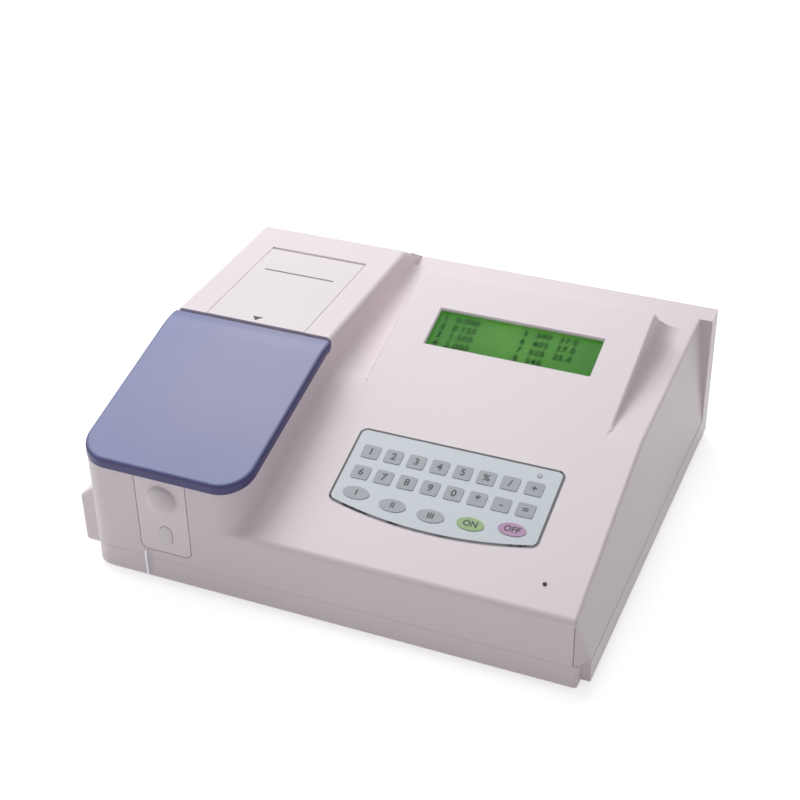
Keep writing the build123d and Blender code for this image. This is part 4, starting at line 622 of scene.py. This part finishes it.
# ---------------------------------------------------------------- keypad
# A membrane keypad: one polyester film, screen-printed pale blue-grey with a dark line round its
# edge, over domed keys. The legends are plain numbers and signs in dark ink.
def printed_film(name, code, rough=0.36, pebble_mm=0.5):
    """Polyester film with a fine pebble finish over a flat printed colour."""
    material, tree = blank(name)
    place = add(tree, "ShaderNodeTexCoord").outputs["Object"]
    pebble = add(
        tree,
        "ShaderNodeTexVoronoi",
        {"Vector": place, "Scale": 1000 / pebble_mm},
        feature="SMOOTH_F1",
    )
    patch = add(tree, "ShaderNodeTexNoise", {"Vector": place, "Scale": 25.0, "Detail": 3.0})
    base = Vector(linear(code)[:3])
    tint = add(
        tree,
        "ShaderNodeMix",
        {0: patch.outputs["Fac"], 6: [*(base * 0.96), 1.0], 7: [*(base * 1.04), 1.0]},
        data_type="RGBA",
    )
    gloss = add(
        tree,
        "ShaderNodeMapRange",
        {"Value": patch.outputs["Fac"], "To Min": rough - 0.06, "To Max": rough + 0.06},
    )
    relief = add(
        tree,
        "ShaderNodeBump",
        {"Strength": 0.25, "Distance": 0.00001, "Height": pebble.outputs["Distance"]},
    )
    skin = add(
        tree,
        "ShaderNodeBsdfPrincipled",
        {
            "Base Color": tint.outputs[2],
            "Roughness": gloss.outputs[0],
            "IOR": 1.6,
            "Normal": relief.outputs[0],
        },
    )
    add(tree, "ShaderNodeOutputMaterial", {"Surface": skin.outputs[0]})
    return material


dress(printed_film("blue-grey polyester film", "#c6cfd6"), "keypad_overlay")
dress(printed_film("grey polyester key", "#9197a1"), "square_keys")
dress(printed_film("grey oval key", "#9499a2"), "oval_keys_grey")
dress(printed_film("green oval key", "#7fa65d"), "oval_key_green")
dress(printed_film("violet oval key", "#ab7aa6"), "oval_key_purple")

line_ink = moulded("dark grey screen ink", "#403c45", grain_mm=0.5, rough=0.45, depth_mm=0.005)
border_line_mm = 1.7
panel_up = Vector((0, -math.sin(panel_tilt), math.cos(panel_tilt)))
facing_up = 0.99
bpy.ops.object.select_all(action="DESELECT")
border = nodes["keypad_overlay"].copy()
border.data = nodes["keypad_overlay"].data.copy()
bpy.context.scene.collection.objects.link(border)
border.name = "keypad_border"
border.select_set(True)
bpy.context.view_layer.objects.active = border
bpy.ops.object.mode_set(mode="EDIT")
bpy.ops.mesh.select_all(action="SELECT")
bpy.ops.mesh.remove_doubles(threshold=0.00001)
bpy.ops.mesh.select_mode(type="FACE")
bpy.ops.mesh.select_all(action="DESELECT")
bpy.ops.object.mode_set(mode="OBJECT")
for face in border.data.polygons:
    face.select = face.normal.dot(panel_up) < facing_up
bpy.ops.object.mode_set(mode="EDIT")
bpy.ops.mesh.delete(type="FACE")
bpy.ops.mesh.select_all(action="SELECT")
bpy.ops.mesh.dissolve_limited(angle_limit=0.01)
bpy.ops.mesh.select_all(action="SELECT")
bpy.ops.mesh.inset(thickness=border_line_mm / 1000)
bpy.ops.mesh.delete(type="FACE")
bpy.ops.mesh.select_all(action="SELECT")
bpy.ops.mesh.extrude_region_move(TRANSFORM_OT_translate={"value": tuple(panel_up * ink_height)})
bpy.ops.mesh.select_all(action="SELECT")
bpy.ops.mesh.normals_make_consistent(inside=False)
bpy.ops.object.mode_set(mode="OBJECT")
border.data.materials.clear()
border.data.materials.append(line_ink)
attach(border, "chassis")

# The legends stand where the keys are: across from the left wall and up the panel, in mm.
key_middle = 251.6
key_pitch = 17.8
key_row_pitch = 19.4
key_top_row = 96.8
oval_pitch = 29.3
oval_row = 59.2
oval_sag = 4.8
film_mm = 0.5
dome_mm = 0.5
key_top = film_mm + dome_mm + 0.02
square_mm = 8.2
oval_mm = 6.8
legend_bold = 0.2
legends = []
for i, signs in enumerate(("12345%/+", "67890*-=")):
    for column, sign in enumerate(signs):
        x = key_middle + (column - (len(signs) - 1) / 2) * key_pitch
        spot = on_panel(x, key_top_row - i * key_row_pitch, key_top)
        legends.append(printed("legend", sign, square_mm, spot, ink, legend_bold))
words = ("I", "II", "III", "ON", "OFF")
half = (len(words) - 1) / 2
for i, word in enumerate(words):
    offset = i / half - 1
    x = key_middle + (i - half) * oval_pitch
    spot = on_panel(x, oval_row - oval_sag * (1 - offset * offset), key_top)
    legends.append(printed("legend", word, oval_mm, spot, ink, legend_bold))
key_legends = joined("key_legends", legends)
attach(key_legends, "chassis")

# The power lamp is a small dark epoxy dome, lit only when the instrument is on. The status lens
# at the keypad's corner is smoky grey. They are one node, so a line between them parts the tones.
epoxy, tree = blank("tinted epoxy lens")
place = add(tree, "ShaderNodeTexCoord").outputs["Object"]
height = add(tree, "ShaderNodeSeparateXYZ", {0: place}).outputs["Y"]
between_lamps = -0.1
which = add(tree, "ShaderNodeMath", {0: height, 1: between_lamps}, operation="GREATER_THAN")
swirl = add(tree, "ShaderNodeTexNoise", {"Vector": place, "Scale": 700.0})
tint = add(
    tree,
    "ShaderNodeMix",
    {0: which.outputs[0], 6: linear("#201a22"), 7: linear("#8e959c")},
    data_type="RGBA",
)
gloss = add(tree, "ShaderNodeMapRange", {"Value": swirl.outputs["Fac"], "To Min": 0.12, "To Max": 0.25})
dome = add(
    tree,
    "ShaderNodeBsdfPrincipled",
    {"Base Color": tint.outputs[2], "Roughness": gloss.outputs[0], "IOR": 1.55, "Coat Weight": 0.3},
)
add(tree, "ShaderNodeOutputMaterial", {"Surface": dome.outputs[0]})
dress(epoxy, "status_lights")


# ---------------------------------------------------------------- boards and power supply
# Glass-epoxy boards under green solder mask, with copper tracks just visible through it. They
# stand on posts in the tray beside an open-frame supply in a perforated steel box.
def solder_mask(name, code, track_code, pitch_mm):
    """Green circuit board with straight tracks and round vias under the mask."""
    material, tree = blank(name)
    place = add(tree, "ShaderNodeTexCoord").outputs["Object"]
    run = (1000 / pitch_mm, 1000 / (6 * pitch_mm), 1.0)
    warp = add(tree, "ShaderNodeMapping", {"Vector": place, "Scale": run})
    cells = add(
        tree,
        "ShaderNodeTexVoronoi",
        {"Vector": warp.outputs[0], "Scale": 1.0},
        distance="CHEBYCHEV",
    )
    track = add(
        tree,
        "ShaderNodeMapRange",
        {"Value": cells.outputs["Distance"], "From Min": 0.3, "From Max": 0.36},
    )
    via_cells = add(tree, "ShaderNodeTexVoronoi", {"Vector": place, "Scale": 1000 / (3 * pitch_mm)})
    via = add(
        tree,
        "ShaderNodeMapRange",
        {"Value": via_cells.outputs["Distance"], "From Min": 0.16, "From Max": 0.2},
    )
    mask = add(tree, "ShaderNodeMath", {0: track.outputs[0], 1: via.outputs[0]}, operation="MULTIPLY")
    tint = add(
        tree,
        "ShaderNodeMix",
        {0: mask.outputs[0], 6: linear(track_code), 7: linear(code)},
        data_type="RGBA",
    )
    relief = add(
        tree,
        "ShaderNodeBump",
        {"Strength": 0.3, "Distance": 0.00004, "Height": mask.outputs[0]},
        invert=True,
    )
    skin = add(
        tree,
        "ShaderNodeBsdfPrincipled",
        {"Base Color": tint.outputs[2], "Roughness": 0.32, "IOR": 1.55, "Normal": relief.outputs[0]},
    )
    add(tree, "ShaderNodeOutputMaterial", {"Surface": skin.outputs[0]})
    return material


dress(solder_mask("green solder mask", "#1f5a38", "#3c8055", 2.0), "main_board", "lcd_board")
dress(
    worked_metal("perforated galvanised steel", "#b7bbbe", rough=0.36, line_mm=(6.0, 6.0, 6.0), wear=0.16),
    "power_supply",
)

components, tree = blank("component bodies")
place = add(tree, "ShaderNodeTexCoord").outputs["Object"]
sides = add(tree, "ShaderNodeSeparateXYZ", {0: place})
# Capacitors in blue sleeves stand behind the first line, pale plugs in front of the second.
sleeve_row = 0.004
plug_row = -0.076
sleeve = add(tree, "ShaderNodeMath", {0: sides.outputs["Y"], 1: sleeve_row}, operation="GREATER_THAN")
plug = add(tree, "ShaderNodeMath", {0: sides.outputs["Y"], 1: plug_row}, operation="LESS_THAN")
speck_mm = 0.8
speck = add(tree, "ShaderNodeTexNoise", {"Vector": place, "Scale": 1000 / speck_mm, "Detail": 3.0})
dark = add(
    tree,
    "ShaderNodeMix",
    {0: sleeve.outputs[0], 6: linear("#1c1c1f"), 7: linear("#243a63")},
    data_type="RGBA",
)
tint = add(
    tree,
    "ShaderNodeMix",
    {0: plug.outputs[0], 6: dark.outputs[2], 7: linear("#d9d6c8")},
    data_type="RGBA",
)
gloss = add(tree, "ShaderNodeMapRange", {"Value": speck.outputs["Fac"], "To Min": 0.35, "To Max": 0.55})
relief = add(tree, "ShaderNodeBump", {"Strength": 0.3, "Distance": 0.00002, "Height": speck.outputs["Fac"]})
body = add(
    tree,
    "ShaderNodeBsdfPrincipled",
    {"Base Color": tint.outputs[2], "Roughness": gloss.outputs[0], "Normal": relief.outputs[0]},
)
add(tree, "ShaderNodeOutputMaterial", {"Surface": body.outputs[0]})
dress(components, "board_parts")

# ---------------------------------------------------------------- rear panel and its fittings
# A powder-coated steel plate is screwed into the rear frame. It carries the fan behind a chromed
# wire guard, the mains inlet, the fuse, the rocker switch and a nine-way socket.
dress(moulded("grey powder coat", "#c9c6cc", grain_mm=1.0, rough=0.5, depth_mm=0.06), "rear_panel")
dress(moulded("black fan plastic", "#1e1e21", rough=0.45), "fan_frame", "fan_rotor")
dress(worked_metal("bright chrome wire", "#d3d5da", rough=0.16, line_mm=(2.0, 2.0, 2.0)), "fan_guard")
thermoset = moulded("black thermoset", "#19191b", grain_mm=0.7, rough=0.4)
dress(thermoset, "mains_inlet", "fuse_holder", "power_switch")
blade = worked_metal("nickel-plated brass blade", "#cbc8bf", rough=0.22, line_mm=(0.3, 4.0, 0.3))
dress(blade, "inlet_pins")
dress(moulded("black glossy rocker", "#1c1c1f", grain_mm=0.6, rough=0.25), "power_rocker")
dress(worked_metal("tinned steel shell", "#bfc1c4", rough=0.3, line_mm=(2.0, 2.0, 2.0)), "serial_port")

# ---------------------------------------------------------------- feet and screws
# Four moulded rubber feet press into the tray. The screws are zinc-plated steel, turned under the
# head.
dress(moulded("black rubber", "#222224", grain_mm=1.4, rough=0.8, depth_mm=0.05), "feet")
zinc = worked_metal("zinc-plated screw steel", "#bcbec1", rough=0.3, line_mm=(1.0, 1.0, 1.0), wear=0.1)
dress(zinc, "case_screws", "inner_screws")
